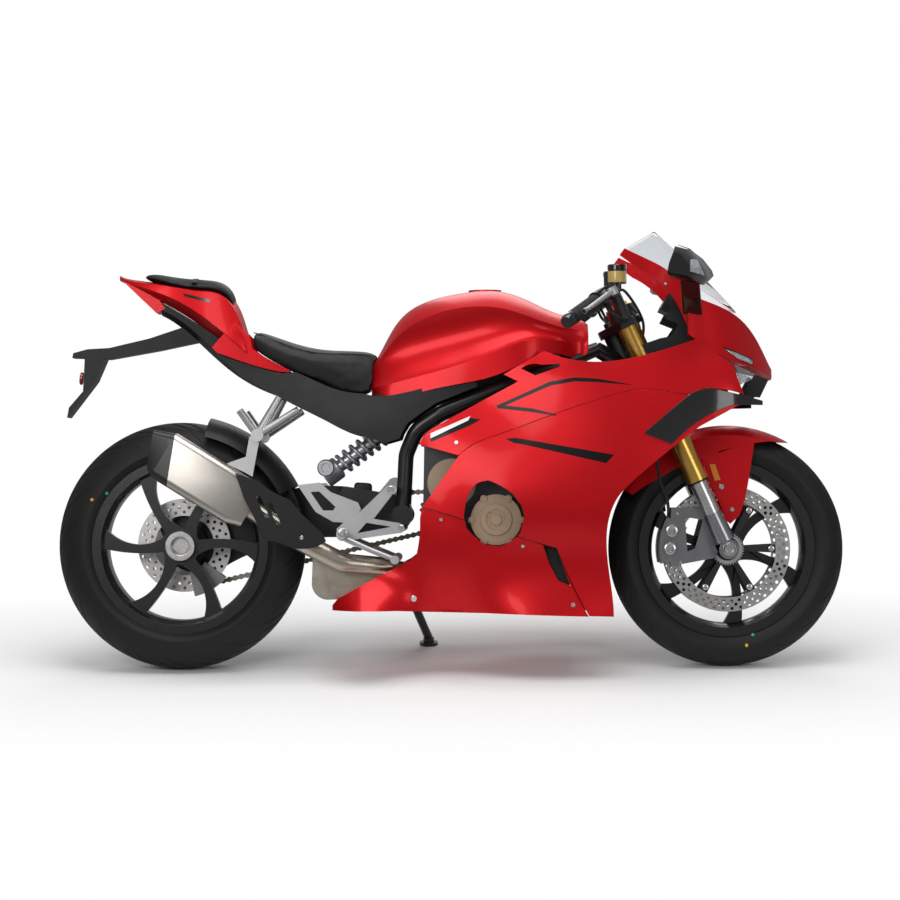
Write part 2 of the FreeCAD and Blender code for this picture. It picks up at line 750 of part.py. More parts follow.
def clutch_cover():
    """Round clutch cover with a raised ring and three bolt bosses on its face."""
    start = -case_half - cover_depth - seat_gap
    x, z = cover_place * wheelbase, cover_height * wheelbase
    plate = cross_rod(x, z, start, start - clutch_wall, clutch_radius)
    ring = cross_rod(x, z, start - clutch_wall, start - clutch_wall - flange_wall, clutch_radius * 0.62)
    dish = cross_rod(x, z, start - clutch_wall, start - clutch_wall - overrun, clutch_radius * 0.40)
    cap = cross_rod(x, z, start, start - clutch_wall - flange_wall, clutch_radius * 0.22)
    bosses = []
    for number in range(clutch_bosses):
        turn = 2 * math.pi * number / clutch_bosses
        reach = clutch_radius - flange_wall / 2
        bosses.append(cross_rod(x + reach * math.cos(turn), z + reach * math.sin(turn),
                                start, start - clutch_wall - flange_wall, clutch_radius * 0.14))
    return fused(fused(plate, ring).cut(dish), cap, *bosses)


clutch_wall = 12.0
clutch_bosses = 6


def radiator():
    """Curved radiator core between its two side tanks, raked like the fork."""
    foot = spot(0.715, 0.250)
    head = foot + Vector(-math.sin(rake) * -radiator_height * 0.3, 0, radiator_height)
    along = (head - foot).normalize()
    ahead = Vector(along.z, 0, -along.x)
    core = Part.makePolygon([foot - Vector(0, radiator_half, 0), foot + Vector(0, radiator_half, 0),
                             foot + Vector(0, radiator_half, 0) + along * radiator_height,
                             foot - Vector(0, radiator_half, 0) + along * radiator_height,
                             foot - Vector(0, radiator_half, 0)])
    slab = Part.Face(core).extrude(ahead * radiator_depth)
    tanks = []
    for side in (-1, 1):
        start = foot + Vector(0, side * radiator_half, 0) + ahead * (radiator_depth / 2)
        tanks.append(bar(start, start + along * radiator_height, radiator_depth * 0.6))
    return fused(slab, *tanks)


radiator_height = 215.0
radiator_half = 150.0
radiator_depth = 26.0


arm_outline_shares = [
    [(-0.040, 0.240), (-0.046, 0.270), (-0.012, 0.283)], [(0.060, 0.283), (0.190, 0.330), (0.300, 0.335)],
    [(0.400, 0.318)], [(0.420, 0.300), (0.422, 0.275), (0.400, 0.250)],
    [(0.290, 0.240), (0.160, 0.225), (0.060, 0.180)], [(0.020, 0.175), (-0.020, 0.190), (-0.040, 0.220)]]
yoke_shares = [
    [(0.300, 0.335)], [(0.400, 0.318)], [(0.420, 0.300), (0.422, 0.275), (0.400, 0.250)],
    [(0.290, 0.240)], [(0.275, 0.290)]]


def swingarm():
    """Single-sided arm: a deep left beam, a hub housing and a yoke to the right end of the pivot."""
    beam = side_plate(arm_outline_shares, swingarm_inner, swingarm_outer)
    yoke_half = pivot_spread - boss_half - running_gap
    yoke = side_plate(yoke_shares, -yoke_half, swingarm_outer - flange_wall)
    room = turned([[(0, -rear_tyre_width)], [(rear_tyre_radius + arm_clearance, -rear_tyre_width)],
                   [(rear_tyre_radius + arm_clearance, swingarm_inner)], [(0, swingarm_inner)]], rear_axle)
    spar_room = cross_rod(pivot_place, pivot_height, yoke_half, swingarm_outer + overrun,
                          pivot_radius + running_gap)
    housing = cross_rod(0, rear_height, housing_inner, swingarm_outer, housing_radius)
    bore = cross_rod(0, rear_height, housing_inner - overrun, swingarm_outer + overrun,
                     rear_axle_radius + running_gap)
    spar_gap = side_plate([[(0.37, 0.20)], [(0.46, 0.20)], [(0.46, 0.36)], [(0.37, 0.36)]],
                          yoke_half, swingarm_outer + overrun)
    arm = fused(beam, yoke.cut(room), housing)
    return arm.cut(bore).cut(spar_gap)


arm_clearance = 14.0
housing_inner = 66.0
housing_radius = 54.0


def rear_caliper():
    """Rear caliper under the disc, on an arm from the swingarm's hub housing."""
    place = rear_disc_place - rear_disc_wall / 2 + seat_gap
    start, end = rear_caliper_angles
    body = split_caliper(Vector(0, place, rear_height), rear_disc_radius, rear_disc_band,
                         rear_disc_wall, start, end)
    turn = math.radians((start + end) / 2)
    reach = Vector(math.cos(turn), 0, math.sin(turn))
    arm_root = Vector(0, housing_inner + arm_radius, rear_height)
    arm = bar(arm_root + reach * (housing_radius + seat_gap), arm_root + reach * rear_disc_radius,
              arm_radius)
    return fused(body, arm)


rear_caliper_angles = (282.0, 322.0)


def chain():
    """Drive chain: one loop round both sprockets whose plates narrow between the rollers."""
    front = spot(front_sprocket_place, front_sprocket_height)
    gap = front - rear_axle
    tilt = math.atan2(gap.z, gap.x)
    middle = chain_height / 2
    rear_size, front_size = rear_sprocket_radius + middle, front_sprocket_radius + middle
    spread = math.acos((rear_size - front_size) / gap.Length)
    run = gap.Length * math.sin(spread)
    rear_arc, front_arc = 2 * (math.pi - spread) * rear_size, 2 * spread * front_size
    links = round((2 * run + rear_arc + front_arc) / chain_pitch)
    step = (2 * run + rear_arc + front_arc) / links

    def place(travel):
        """Point on the loop and the way out of it, after a travel from the top of the rear wheel."""
        if travel < run:
            out = Vector(math.cos(tilt + spread), 0, math.sin(tilt + spread))
            start, end = rear_axle + out * rear_size, front + out * front_size
            return start + (end - start) * (travel / run), out
        if travel < run + front_arc:
            turn = tilt + spread - (travel - run) / front_size
            out = Vector(math.cos(turn), 0, math.sin(turn))
            return front + out * front_size, out
        if travel < 2 * run + front_arc:
            out = Vector(math.cos(tilt - spread), 0, math.sin(tilt - spread))
            start, end = front + out * front_size, rear_axle + out * rear_size
            return start + (end - start) * ((travel - run - front_arc) / run), out
        turn = tilt - spread - (travel - 2 * run - front_arc) / rear_size
        out = Vector(math.cos(turn), 0, math.sin(turn))
        return rear_axle + out * rear_size, out

    def edge(side):
        """Wavy closed edge of the plates on one side of the loop, outer 1 or inner -1."""
        corners = []
        for number in range(2 * links):
            point, out = place(number * step / 2)
            reach = middle - running_gap if number % 2 == 0 else middle * plate_waist_share
            corners.append(point + out * (side * reach) + Vector(0, chain_plane - chain_width / 2, 0))
        return Part.Face(Part.makePolygon(corners + [corners[0]]))

    loop = edge(1).cut(edge(-1)).extrude(Vector(0, chain_width, 0))
    wheel = toothed_wheel(front, front_sprocket_radius + middle, chain_plane - sprocket_wall / 2,
                          sprocket_wall)
    shaft = cross_rod(front.x, front.z, case_half + seat_gap, chain_plane, front_axle_radius)
    return fused(loop, wheel, shaft)


plate_waist_share = 0.5


front_sprocket_place = 0.470
front_sprocket_height = 0.290


def rear_shock():
    """Monoshock on the middle plane: damper body, spring coils and a remote reservoir."""
    low = spot(0.262, 0.352)
    high = spot(0.372, 0.432)
    along = (high - low).normalize()
    side_way = Vector(0, 1, 0)
    core = shock_coil_radius - 2 * coil_wire_radius
    pitch = (high - low).Length / (coil_turns + 1)
    profile = [(0, 0), (shock_coil_radius, 0), (shock_coil_radius, pitch * 0.4), (core, pitch * 0.4)]
    for turn in range(coil_turns):
        middle = pitch * (turn + 1)
        profile += [(core, middle - coil_wire_radius), (shock_coil_radius - coil_wire_radius / 2,
                    middle - coil_wire_radius), (shock_coil_radius, middle),
                    (shock_coil_radius - coil_wire_radius / 2, middle + coil_wire_radius),
                    (core, middle + coil_wire_radius)]
    end = (high - low).Length
    profile += [(core, end - pitch * 0.4), (shock_coil_radius, end - pitch * 0.4), (shock_coil_radius, end),
                (0, end), (0, 0)]
    face = Part.Face(Part.makePolygon([low + side_way * radius + along * place for radius, place in profile]))
    damper = face.revolve(low, along, 360)
    centre = spot(*shock_valve_shares)
    valve = cross_rod(centre.x, centre.z, -shock_coil_radius - overrun, 0, shock_valve_radius)
    return fused(damper, valve)


shock_valve_shares = (0.266, 0.369)
shock_valve_radius = 22.0


# Exhaust

silencer_rear = (-0.022, 0.393)
silencer_front = (0.1345, 0.295)
outlet_middle = (-0.0463, 0.4055)
outlet_top = (-0.0395, 0.4399)


def silencer():
    """Angular upswept silencer: a straight case, a slanted end cap and its outlet."""
    rear = spot(*silencer_rear, -silencer_spread)
    front = spot(*silencer_front, -silencer_spread)
    along = (rear - front).normalize()
    up = Vector(along.z, 0, -along.x)
    across = Vector(0, 1, 0)
    shoulder = front + (rear - front) * shoulder_share
    case = rounded_loft([(front, silencer_half * throat_share, silencer_tall * throat_share),
                         (shoulder, silencer_half, silencer_tall), (rear, silencer_half, silencer_tall)],
                        across, up, silencer_corner_share, True)
    mouth = spot(*outlet_middle, -silencer_spread)
    lift = spot(*outlet_top, -silencer_spread) - mouth
    cap = Part.makeLoft([rounded_section(rear, across, up, silencer_half, silencer_tall,
                                         silencer_corner_share),
                         rounded_section(mouth, across, lift.normalize(), silencer_half * mouth_share,
                                         silencer_tall * mouth_share, silencer_corner_share)], True, True)
    outlet = bar(mouth - along * overrun, mouth + along * overrun, silencer_half / 2)
    return fused(case, cap).cut(outlet)


silencer_spread = 152.0
silencer_half = 40.0
silencer_tall = 64.0
silencer_corner_share = 0.5
shoulder_share, throat_share, mouth_share = 0.15, 0.80, 0.74


chamber_shares = [
    [(0.243, 0.205)], [(0.241, 0.160), (0.250, 0.137), (0.275, 0.129)], [(0.330, 0.129)], [(0.436, 0.131)],
    [(0.436, 0.180)], [(0.330, 0.190)]]
pipe_shares = [(0.430, -0.5, 0.172), (0.380, -0.7, 0.187), (0.300, -0.95, 0.196), (0.215, -1.0, 0.240)]


def exhaust_pipe():
    """Link pipe from under the engine, the collector box and the riser to the silencer."""
    front = spot(*silencer_front, -silencer_spread)
    rear = spot(*silencer_rear, -silencer_spread)
    along = (rear - front).normalize()
    points = [spot(x, z, y * silencer_spread) for x, y, z in pipe_shares] + [front + along * overrun]
    pipe = tube(points, pipe_radius, pipe_bend)
    box = side_plate(chamber_shares, -chamber_right, chamber_left)
    trim = bar(front - along * seat_gap, rear, silencer_tall * 2)
    return fused(pipe, box).cut(trim)


pipe_radius = 25.0
pipe_bend = 80.0
chamber_right = 100.0
chamber_left = 75.0


heat_shield_shares = [
    [(0.108, 0.360)], [(0.150, 0.345), (0.180, 0.323), (0.205, 0.312)], [(0.225, 0.288), (0.265, 0.250)],
    [(0.271, 0.236)], [(0.255, 0.227), (0.224, 0.223), (0.189, 0.233)], [(0.160, 0.240), (0.148, 0.266), (0.124, 0.314)]]


def heat_shield():
    """Slotted shield plate in front of the silencer's riser."""
    outer = -silencer_spread - silencer_half - shield_gap
    plate = side_plate(heat_shield_shares, outer, outer - panel_wall)
    for outline in shield_slot_shares:
        plate = plate.cut(side_plate(outline, outer + overrun, outer - panel_wall - overrun))
    return plate


shield_slot_shares = [
    [[(0.145, 0.318)], [(0.153, 0.318)], [(0.169, 0.280)], [(0.161, 0.280)]],
    [[(0.166, 0.305)], [(0.174, 0.305)], [(0.190, 0.267)], [(0.182, 0.267)]]]


shield_gap = 4.0


# Bodywork

side_x_shares = [0.27, 0.46, 0.585, 0.665, 0.755, 0.85, 0.94, 1.06]
side_z_shares = [0.06, 0.16, 0.27, 0.36, 0.44, 0.50, 0.56, 0.63]
side_width_shares = [
    [0.38, 0.44, 0.47, 0.49, 0.48, 0.46, 0.40, 0.28],
    [0.58, 0.70, 0.75, 0.77, 0.76, 0.71, 0.62, 0.46],
    [0.58, 0.84, 0.91, 0.95, 0.95, 0.89, 0.79, 0.58],
    [0.54, 0.79, 0.93, 0.98, 1.00, 0.97, 0.88, 0.66],
    [0.52, 0.72, 0.83, 0.90, 0.96, 0.97, 0.92, 0.66],
    [0.50, 0.68, 0.76, 0.86, 0.93, 0.94, 0.92, 0.63],
    [0.50, 0.67, 0.73, 0.80, 0.86, 0.88, 0.85, 0.58],
    [0.50, 0.66, 0.72, 0.76, 0.82, 0.84, 0.76, 0.50]]


def side_wall(outset):
    """Thick left wall of the fairing on its smooth side surface, moved out by outset."""
    rows = []
    for z_share, widths in zip(side_z_shares, side_width_shares):
        rows.append([spot(x_share, z_share, width * fairing_half_width + outset)
                     for x_share, width in zip(side_x_shares, widths)])
    return smooth_surface(rows).toShape().extrude(Vector(0, -panel_wall, 0))


def fairing_panel(outline_shares, outset):
    """Part of the fairing's wall inside a side outline."""
    cutter = side_plate(outline_shares, 0, fairing_half_width * 2)
    return side_wall(outset).common(cutter)


crease_shares = [(0.510, 0.389), (0.530, 0.405), (0.584, 0.427), (0.656, 0.453), (0.765, 0.489),
                 (0.800, 0.499), (0.837, 0.506), (0.882, 0.502), (0.927, 0.495)]
belly_top_shares = [(0.444, 0.297), (0.521, 0.273), (0.617, 0.242), (0.685, 0.221)]
belly_front_shares = [(0.685, 0.221), (0.717, 0.148), (0.743, 0.098)]

upper_shares = [
    [(0.438, 0.410), (0.447, 0.426)], [(0.462, 0.438), (0.548, 0.485), (0.618, 0.522)],
    [(0.592, 0.535)], [(0.665, 0.577)],
    [(0.692, 0.566), (0.730, 0.558), (0.765, 0.556), (0.800, 0.559), (0.838, 0.566), (0.890, 0.580),
     (0.940, 0.597)],
    [(1.006, 0.548)], [(1.013, 0.525)], [(1.024, 0.496), (0.985, 0.505), (0.950, 0.507)]]
side_shares = [
    [(1.025, 0.481), (1.007, 0.473)], [(0.944, 0.439), (0.881, 0.391), (0.827, 0.346)],
    [(0.804, 0.324), (0.786, 0.296), (0.777, 0.265), (0.775, 0.229), (0.779, 0.184), (0.788, 0.097)]]
stand_notch_shares = [[(0.270, 0.090)], [(0.460, 0.090)], [(0.460, 0.150)], [(0.425, 0.190)], [(0.270, 0.190)]]
belly_shares = [
    [(0.404, 0.110), (0.280, 0.111)], [(0.280, 0.120), (0.291, 0.133)],
    [(0.305, 0.140), (0.368, 0.174), (0.419, 0.200)], [(0.433, 0.211), (0.437, 0.231), (0.440, 0.276)]]
belly_floor_shares = [(0.286, 0.465), (0.46, 0.56), (0.585, 0.60), (0.665, 0.62), (0.734, 0.61)]
belly_floor_heights = (0.111, 0.099)
window_shares = [
    [(0.519, 0.279), (0.523, 0.305), (0.534, 0.330), (0.548, 0.341)],
    [(0.563, 0.344), (0.585, 0.334), (0.606, 0.320)], [(0.622, 0.299), (0.627, 0.279)],
    [(0.620, 0.250), (0.604, 0.235), (0.581, 0.225)], [(0.557, 0.229), (0.536, 0.245), (0.523, 0.260)]]
scoop_shares = [[(0.624, 0.545), (0.629, 0.5485), (0.660, 0.5515)], [(0.694, 0.553)], [(0.692, 0.5475)],
                [(0.667, 0.539)], [(0.649, 0.5325)]]
vent_shares = [[(0.661, 0.227)], [(0.685, 0.221)], [(0.710, 0.153)], [(0.688, 0.163), (0.672, 0.194)]]


def upper_fairing(side):
    """Upper side panel, from the cockpit's edge down to the crease."""
    crease = list(reversed(spaced(crease_shares, 0, 1)))
    panel = fairing_panel(upper_shares + [crease], 0)
    panel = panel.cut(side_plate(scoop_shares, 0, fairing_half_width * 2))
    return panel if side > 0 else mirrored(panel)


def side_fairing(side):
    """Large side panel with the window over the clutch cover, proud of the upper one."""
    outline = [spaced(crease_shares, 0, -1)] + side_shares
    outline += [list(reversed(spaced(belly_front_shares, 1, 1))),
                list(reversed(spaced(belly_top_shares, 1, 1)))]
    panel = fairing_panel(outline, side_outset)
    window = side_plate(window_shares, 0, fairing_half_width * 2)
    vent = side_plate(vent_shares, 0, fairing_half_width * 2)
    panel = panel.cut(window).cut(vent)
    return panel if side > 0 else mirrored(panel)


def belly_floor():
    """Floor of the lower panel, from the middle plane out to the panel's wall."""
    first, last = belly_floor_shares[0][0], belly_floor_shares[-1][0]
    low, fore = belly_floor_heights

    def point(x_share, y):
        slope = (fore - low) / (last - first)
        return spot(x_share, low + slope * (x_share - first), y)

    corners = [point(first, panel_gap / 2)]
    corners += [point(x, y * fairing_half_width) for x, y in belly_floor_shares]
    corners += [point(last, panel_gap / 2), corners[0]]
    return Part.Face(Part.makePolygon(corners)).extrude(Vector(0, 0, panel_wall))


def belly_fairing(side):
    """Lower panel that closes the fairing under the engine and joins its twin by a floor."""
    outline = [spaced(belly_top_shares, -1, -1), spaced(belly_front_shares, -1, -1)] + belly_shares
    panel = fairing_panel(outline, belly_outset)
    for opening in (vent_shares, window_shares):
        panel = panel.cut(side_plate(opening, 0, fairing_half_width * 2))
    panel = fused(panel, belly_floor())
    if side < 0:
        return mirrored(panel)
    return panel.cut(side_plate(stand_notch_shares, stand_notch_inner, fairing_half_width * 2))


side_outset = 6.0
belly_outset = 0.0
stand_notch_inner = 60.0

cover_x_shares = [0.03, 0.16, 0.30, 0.44, 0.60]
cover_z_shares = [0.38, 0.46, 0.53, 0.62]
cover_width_shares = [
    [0.45, 0.55, 0.85, 1.02, 1.05],
    [0.45, 0.62, 0.90, 1.02, 1.04],
    [0.45, 0.62, 0.82, 0.98, 1.00],
    [0.45, 0.60, 0.76, 0.92, 0.96]]
cover_shares = [
    [(0.050, 0.590), (0.081, 0.566), (0.113, 0.537)],
    [(0.168, 0.507), (0.222, 0.478), (0.277, 0.450), (0.304, 0.436), (0.340, 0.425), (0.375, 0.413)],
    [(0.404, 0.421)], [(0.408, 0.432)], [(0.419, 0.4495)], [(0.445, 0.4680)], [(0.4705, 0.4850)],
    [(0.545, 0.514)], [(0.540, 0.528)],
    [(0.530, 0.534), (0.476, 0.520), (0.404, 0.502), (0.367, 0.498), (0.342, 0.502)],
    [(0.324, 0.504), (0.295, 0.509), (0.240, 0.532), (0.215, 0.5435)],
    [(0.191, 0.5415), (0.150, 0.551), (0.104, 0.566), (0.065, 0.580)]]


def side_cover(side):
    """Dark cover under the seat, from the tail to the frame tube."""
    rows = []
    for z_share, widths in zip(cover_z_shares, cover_width_shares):
        rows.append([spot(x_share, z_share, width * tank_half_width)
                     for x_share, width in zip(cover_x_shares, widths)])
    wall = smooth_surface(rows).toShape().extrude(Vector(0, -cover_wall, 0))
    panel = wall.common(side_plate(cover_shares, 0, fairing_half_width * 2))
    tank = section_loft(tank_sections_shares, tank_half_width + running_gap)
    panel = panel.cut(tank).cut(moved(tank, 0, -running_gap)).cut(frame_rail(running_gap))
    panel = sorted(panel.Solids, key=lambda solid: solid.Volume)[-1]
    return panel if side > 0 else mirrored(panel)


cover_wall = 24.0


def section_wire(x_share, runs, half_width):
    """Closed cross section across the bike, mirrored from runs of (y share, z share) points."""
    left = [[spot(x_share, z, y * half_width) for y, z in run] for run in runs]
    right = [[Vector(point.x, -point.y, point.z) for point in reversed(run)] for run in reversed(left)]
    return closed_wire(left + right)


def section_loft(sections, half_width):
    """Smooth solid through cross sections that have the same runs of points."""
    return Part.makeLoft([section_wire(x, runs, half_width) for x, runs in sections], True)


def tank_section(top, shoulder, recess, flare, bottom):
    """Tank section from its ridge: crowned top, knee recess, flare and lower edge."""
    crown = [(0, top), (shoulder[0] * 0.6, top - (top - shoulder[1]) * 0.25), shoulder]
    hollow = [shoulder, recess, flare]
    return [crown, hollow, [flare, bottom]]


tank_sections_shares = [
    (0.352, tank_section(0.560, (0.40, 0.548), (0.44, 0.530), (0.52, 0.515), (0.50, 0.500))),
    (0.394, tank_section(0.628, (0.70, 0.600), (0.66, 0.560), (0.88, 0.522), (0.90, 0.496))),
    (0.449, tank_section(0.671, (0.88, 0.638), (0.74, 0.590), (0.98, 0.536), (1.00, 0.506))),
    (0.520, tank_section(0.688, (1.00, 0.657), (0.84, 0.610), (1.06, 0.556), (1.08, 0.520))),
    (0.590, tank_section(0.690, (1.00, 0.655), (0.92, 0.624), (1.10, 0.582), (1.12, 0.538))),
    (0.640, tank_section(0.673, (0.94, 0.640), (0.90, 0.620), (1.06, 0.598), (1.08, 0.562))),
    (0.700, tank_section(0.648, (0.70, 0.622), (0.68, 0.608), (0.72, 0.596), (0.72, 0.572))),
    (0.748, tank_section(0.630, (0.50, 0.610), (0.50, 0.600), (0.52, 0.592), (0.52, 0.578)))]


def fuel_tank():
    """Fuel tank with a knee recess on each side and a filler cap on top."""
    shell = section_loft(tank_sections_shares, tank_half_width)
    cap_base = spot(0.560, 0.680)
    cap = bar(cap_base, cap_base + Vector(0, 0, overrun), cap_radius)
    rail = frame_rail(running_gap)
    return fused(shell, cap).cut(rail).cut(mirrored(rail))


cap_radius = 42.0


def seat_section(top, edge, bottom_half, bottom):
    """Seat section: crowned top, rounded edge and a narrower flat base."""
    return [[(0, top), (edge[0] * 0.6, top - (top - edge[1]) * 0.2), edge], [edge, (bottom_half, bottom)]]


rider_sections_shares = [
    (0.133, seat_section(0.620, (0.80, 0.612), 0.78, 0.592)),
    (0.170, seat_section(0.610, (0.98, 0.594), 0.92, 0.567)),
    (0.240, seat_section(0.588, (1.00, 0.568), 0.94, 0.530)),
    (0.310, seat_section(0.582, (0.80, 0.562), 0.84, 0.505)),
    (0.350, seat_section(0.579, (0.62, 0.558), 0.78, 0.507)),
    (0.386, seat_section(0.562, (0.50, 0.546), 0.60, 0.525))]


def rider_seat():
    """Rider's pad, wide behind and narrow where it meets the tank."""
    pad = section_loft(rider_sections_shares, seat_half_width)
    tank = section_loft(tank_sections_shares, tank_half_width)
    tank.translate(Vector(-soft_gap, 0, 0))
    covers = side_cover(1)
    for cover in (covers, moved(covers, 0, soft_gap), moved(covers, 0, -running_gap)):
        pad = pad.cut(cover).cut(mirrored(cover))
    return sorted(pad.cut(tank).Solids, key=lambda solid: solid.Volume)[-1]


soft_gap = 2.0

pillion_sections_shares = [
    (-0.068, seat_section(0.724, (0.55, 0.721), 0.55, 0.716)),
    (-0.030, seat_section(0.724, (0.95, 0.716), 0.95, 0.708)),
    (0.030, seat_section(0.716, (1.05, 0.706), 1.05, 0.698)),
    (0.078, seat_section(0.709, (1.05, 0.700), 1.05, 0.688)),
    (0.100, seat_section(0.680, (1.00, 0.672), 1.00, 0.655))]


def pillion_seat():
    """Passenger's pad on the tail."""
    return section_loft(pillion_sections_shares, pillion_half_width)


def tail_section(top, edge, low, bottom):
    """Tail section: nearly flat top, side bulge and a keel."""
    return [[(0, top), edge], [edge, low], [low, (low[0] * 0.5, bottom)]]


tail_sections_shares = [
    (-0.112, tail_section(0.726, (0.10, 0.725), (0.12, 0.719), 0.716)),
    (-0.070, tail_section(0.716, (0.72, 0.710), (0.80, 0.702), 0.695)),
    (-0.020, tail_section(0.711, (0.90, 0.702), (1.00, 0.684), 0.668)),
    (0.040, tail_section(0.704, (0.95, 0.692), (1.05, 0.650), 0.630)),
    (0.085, tail_section(0.694, (0.98, 0.680), (1.12, 0.615), 0.598)),
    (0.112, tail_section(0.655, (1.00, 0.640), (1.18, 0.592), 0.580)),
    (0.125, tail_section(0.610, (1.05, 0.600), (1.20, 0.580), 0.572))]
tail_blade_shares = [
    [(0.104, 0.636)], [(0.126, 0.614)], [(0.147, 0.5855)], [(0.180, 0.567)], [(0.209, 0.5505)], [(0.204, 0.5437)],
    [(0.192, 0.5437), (0.150, 0.5530), (0.104, 0.5680), (0.070, 0.5805)], [(0.062, 0.590)]]
tail_keel_shares = [[(-0.103, 0.713)], [(-0.0425, 0.6547)], [(-0.026, 0.663)], [(-0.045, 0.690)]]


def tail_cowl():
    """Tail cowl that rises to its tip behind the passenger's pad."""
    shell = section_loft(tail_sections_shares, tail_half_width)
    blade = side_plate(tail_blade_shares, tail_half_width, tail_half_width + blade_wall)
    keel = side_plate(tail_keel_shares, -keel_half, keel_half)
    pad = section_loft(pillion_sections_shares, pillion_half_width)
    pad.translate(Vector(0, 0, -soft_gap))
    seat = section_loft(rider_sections_shares, seat_half_width)
    seat.translate(Vector(-soft_gap, 0, -soft_gap))
    return fused(shell, blade, mirrored(blade), keel).cut(pad).cut(seat)


blade_wall = 9.0
keel_half = 48.0


nose_sections_shares = [
    (0.925, 0.662, (0.88, 0.682), (0.95, 0.606), 0.600),
    (0.960, 0.656, (0.82, 0.666), (0.93, 0.582), 0.574),
    (1.000, 0.645, (0.68, 0.650), (0.86, 0.560), 0.548),
    (1.030, 0.630, (0.50, 0.630), (0.70, 0.550), 0.538),
    (1.062, 0.588, (0.30, 0.588), (0.46, 0.540), 0.530),
    (1.086, 0.545, (0.08, 0.545), (0.12, 0.530), 0.526)]
surround_shares = [
    [(0.803, 0.750), (0.812, 0.762)], [(0.868, 0.735), (0.900, 0.714), (0.925, 0.690)],
    [(0.925, 0.620)], [(0.912, 0.650), (0.880, 0.695), (0.838, 0.724)]]


strip_share = 0.88


def nose_body(inset):
    """Closed nose form, or one that is smaller all round by inset."""
    drop, squeeze = inset / wheelbase, inset / nose_half_width
    sections = []
    for x, top, (edge_y, edge_z), (low_y, low_z), bottom in nose_sections_shares:
        edge = (edge_y - squeeze, edge_z - drop)
        low = (low_y - squeeze, low_z + drop)
        sections.append((x - drop, [[(0, top - drop), edge], [edge, low], [low, (0, bottom + drop)]]))
    return section_loft(sections, nose_half_width)


lamp_shares = [[(0.991, 0.580)], [(1.015, 0.573)], [(1.039, 0.564)], [(1.048, 0.558)], [(1.046, 0.551)],
               [(1.020, 0.560)]]


def nose_shell():
    """Nose form hollowed to its wall and open behind."""
    return nose_body(0).cut(nose_body(panel_wall))


def nose_cowl():
    """Nose shell with its lamp slits and the two side strips that run up along the screen."""
    shell = nose_shell()
    slit = side_plate(lamp_shares, 0, nose_half_width)
    strip_spread = nose_half_width * strip_share
    strip = side_plate(surround_shares, strip_spread - panel_wall, strip_spread)
    return fused(shell.cut(slit).cut(mirrored(slit)), strip, mirrored(strip))


def headlamps():
    """Lamp lenses that fill the two slits of the nose."""
    corners = [run[0] for run in lamp_shares]
    middle_x = sum(x for x, z in corners) / len(corners)
    middle_z = sum(z for x, z in corners) / len(corners)
    fit = 1 - seat_gap * 2 / lamp_height
    lens_shares = [[(middle_x + (x - middle_x) * fit, middle_z + (z - middle_z) * fit)] for x, z in corners]
    return both_sides(nose_shell().common(side_plate(lens_shares, 0, nose_half_width)))


lamp_height = 14.0


screen_shares = [
    ((0.812, 0.74, 0.762), (0.873, 0.800)), ((0.880, 0.76, 0.728), (0.935, 0.742)),
    ((0.945, 0.68, 0.692), (0.998, 0.678)), ((0.995, 0.42, 0.663), (1.022, 0.650))]


def windscreen():
    """Clear bubble screen: arched ribs from side to side, and the same ribs inside its wall."""
    def rib(edge, ridge, inset):
        x, y, z = edge
        side = spot(x, z, y * nose_half_width - inset) - Vector(inset, 0, 0)
        other = Vector(side.x, -side.y, side.z)
        return Part.Wire([Part.Arc(side, spot(*ridge) - Vector(inset, 0, inset), other).toShape(),
                          Part.LineSegment(other, side).toShape()])

    outer = Part.makeLoft([rib(edge, ridge, 0) for edge, ridge in screen_shares], True)
    inner_ribs = [rib(edge, ridge, screen_wall) for edge, ridge in screen_shares]
    top = rib(*screen_shares[0], screen_wall)
    foot = rib(*screen_shares[-1], screen_wall)
    top.translate(Vector(-overrun, 0, overrun / 2))
    foot.translate(Vector(overrun, 0, -overrun / 2))
    inner = Part.makeLoft([top] + inner_ribs + [foot], True)
    return outer.cut(inner)


screen_wall = 3.0


mirror_shares = [(0.901, 0.759), (0.922, 0.752), (0.951, 0.714), (0.956, 0.698), (0.945, 0.687),
                 (0.890, 0.699), (0.885, 0.704), (0.888, 0.724)]
mirror_station_shares = [(0.00, 0.55, 0.030), (0.18, 0.86, 0.012), (0.55, 1.00, 0.0), (0.86, 0.86, -0.010),
                         (1.00, 0.60, -0.018)]


def mirrors():
    """Mirror heads swept back towards their tips, each on a tapered stalk from the nose."""
    middle_x = sum(x for x, z in mirror_shares) / len(mirror_shares)
    middle_z = mirror_tip_height / wheelbase
    sections = []
    for place, size, ahead in mirror_station_shares:
        y = mirror_tip_spread - mirror_span * (1 - place)
        points = [spot(middle_x + (x - middle_x) * size + ahead, middle_z + (z - middle_z) * size, y)
                  for x, z in mirror_shares]
        sections.append(Part.makePolygon(points + [points[0]]))
    head = Part.makeLoft(sections, True, True)
    ahead_way, left_way = Vector(1, 0, 0), Vector(0, 1, 0)
    stalk = rounded_loft([(spot(*stalk_root_shares, nose_half_width * stalk_root_share), stalk_length,
                           stalk_wall),
                          (spot(*stalk_top_shares, mirror_stalk_spread), stalk_length, stalk_wall)],
                         ahead_way, left_way, silencer_corner_share)
    strip_spread = nose_half_width * strip_share
    strip = side_plate(surround_shares, strip_spread - panel_wall - running_gap, strip_spread + running_gap)
    nose = nose_body(-running_gap / 2)
    whole = fused(head, stalk).cut(nose).cut(moved(nose, -running_gap, 0)).cut(strip)
    return both_sides(sorted(whole.Solids, key=lambda solid: solid.Volume)[-1])


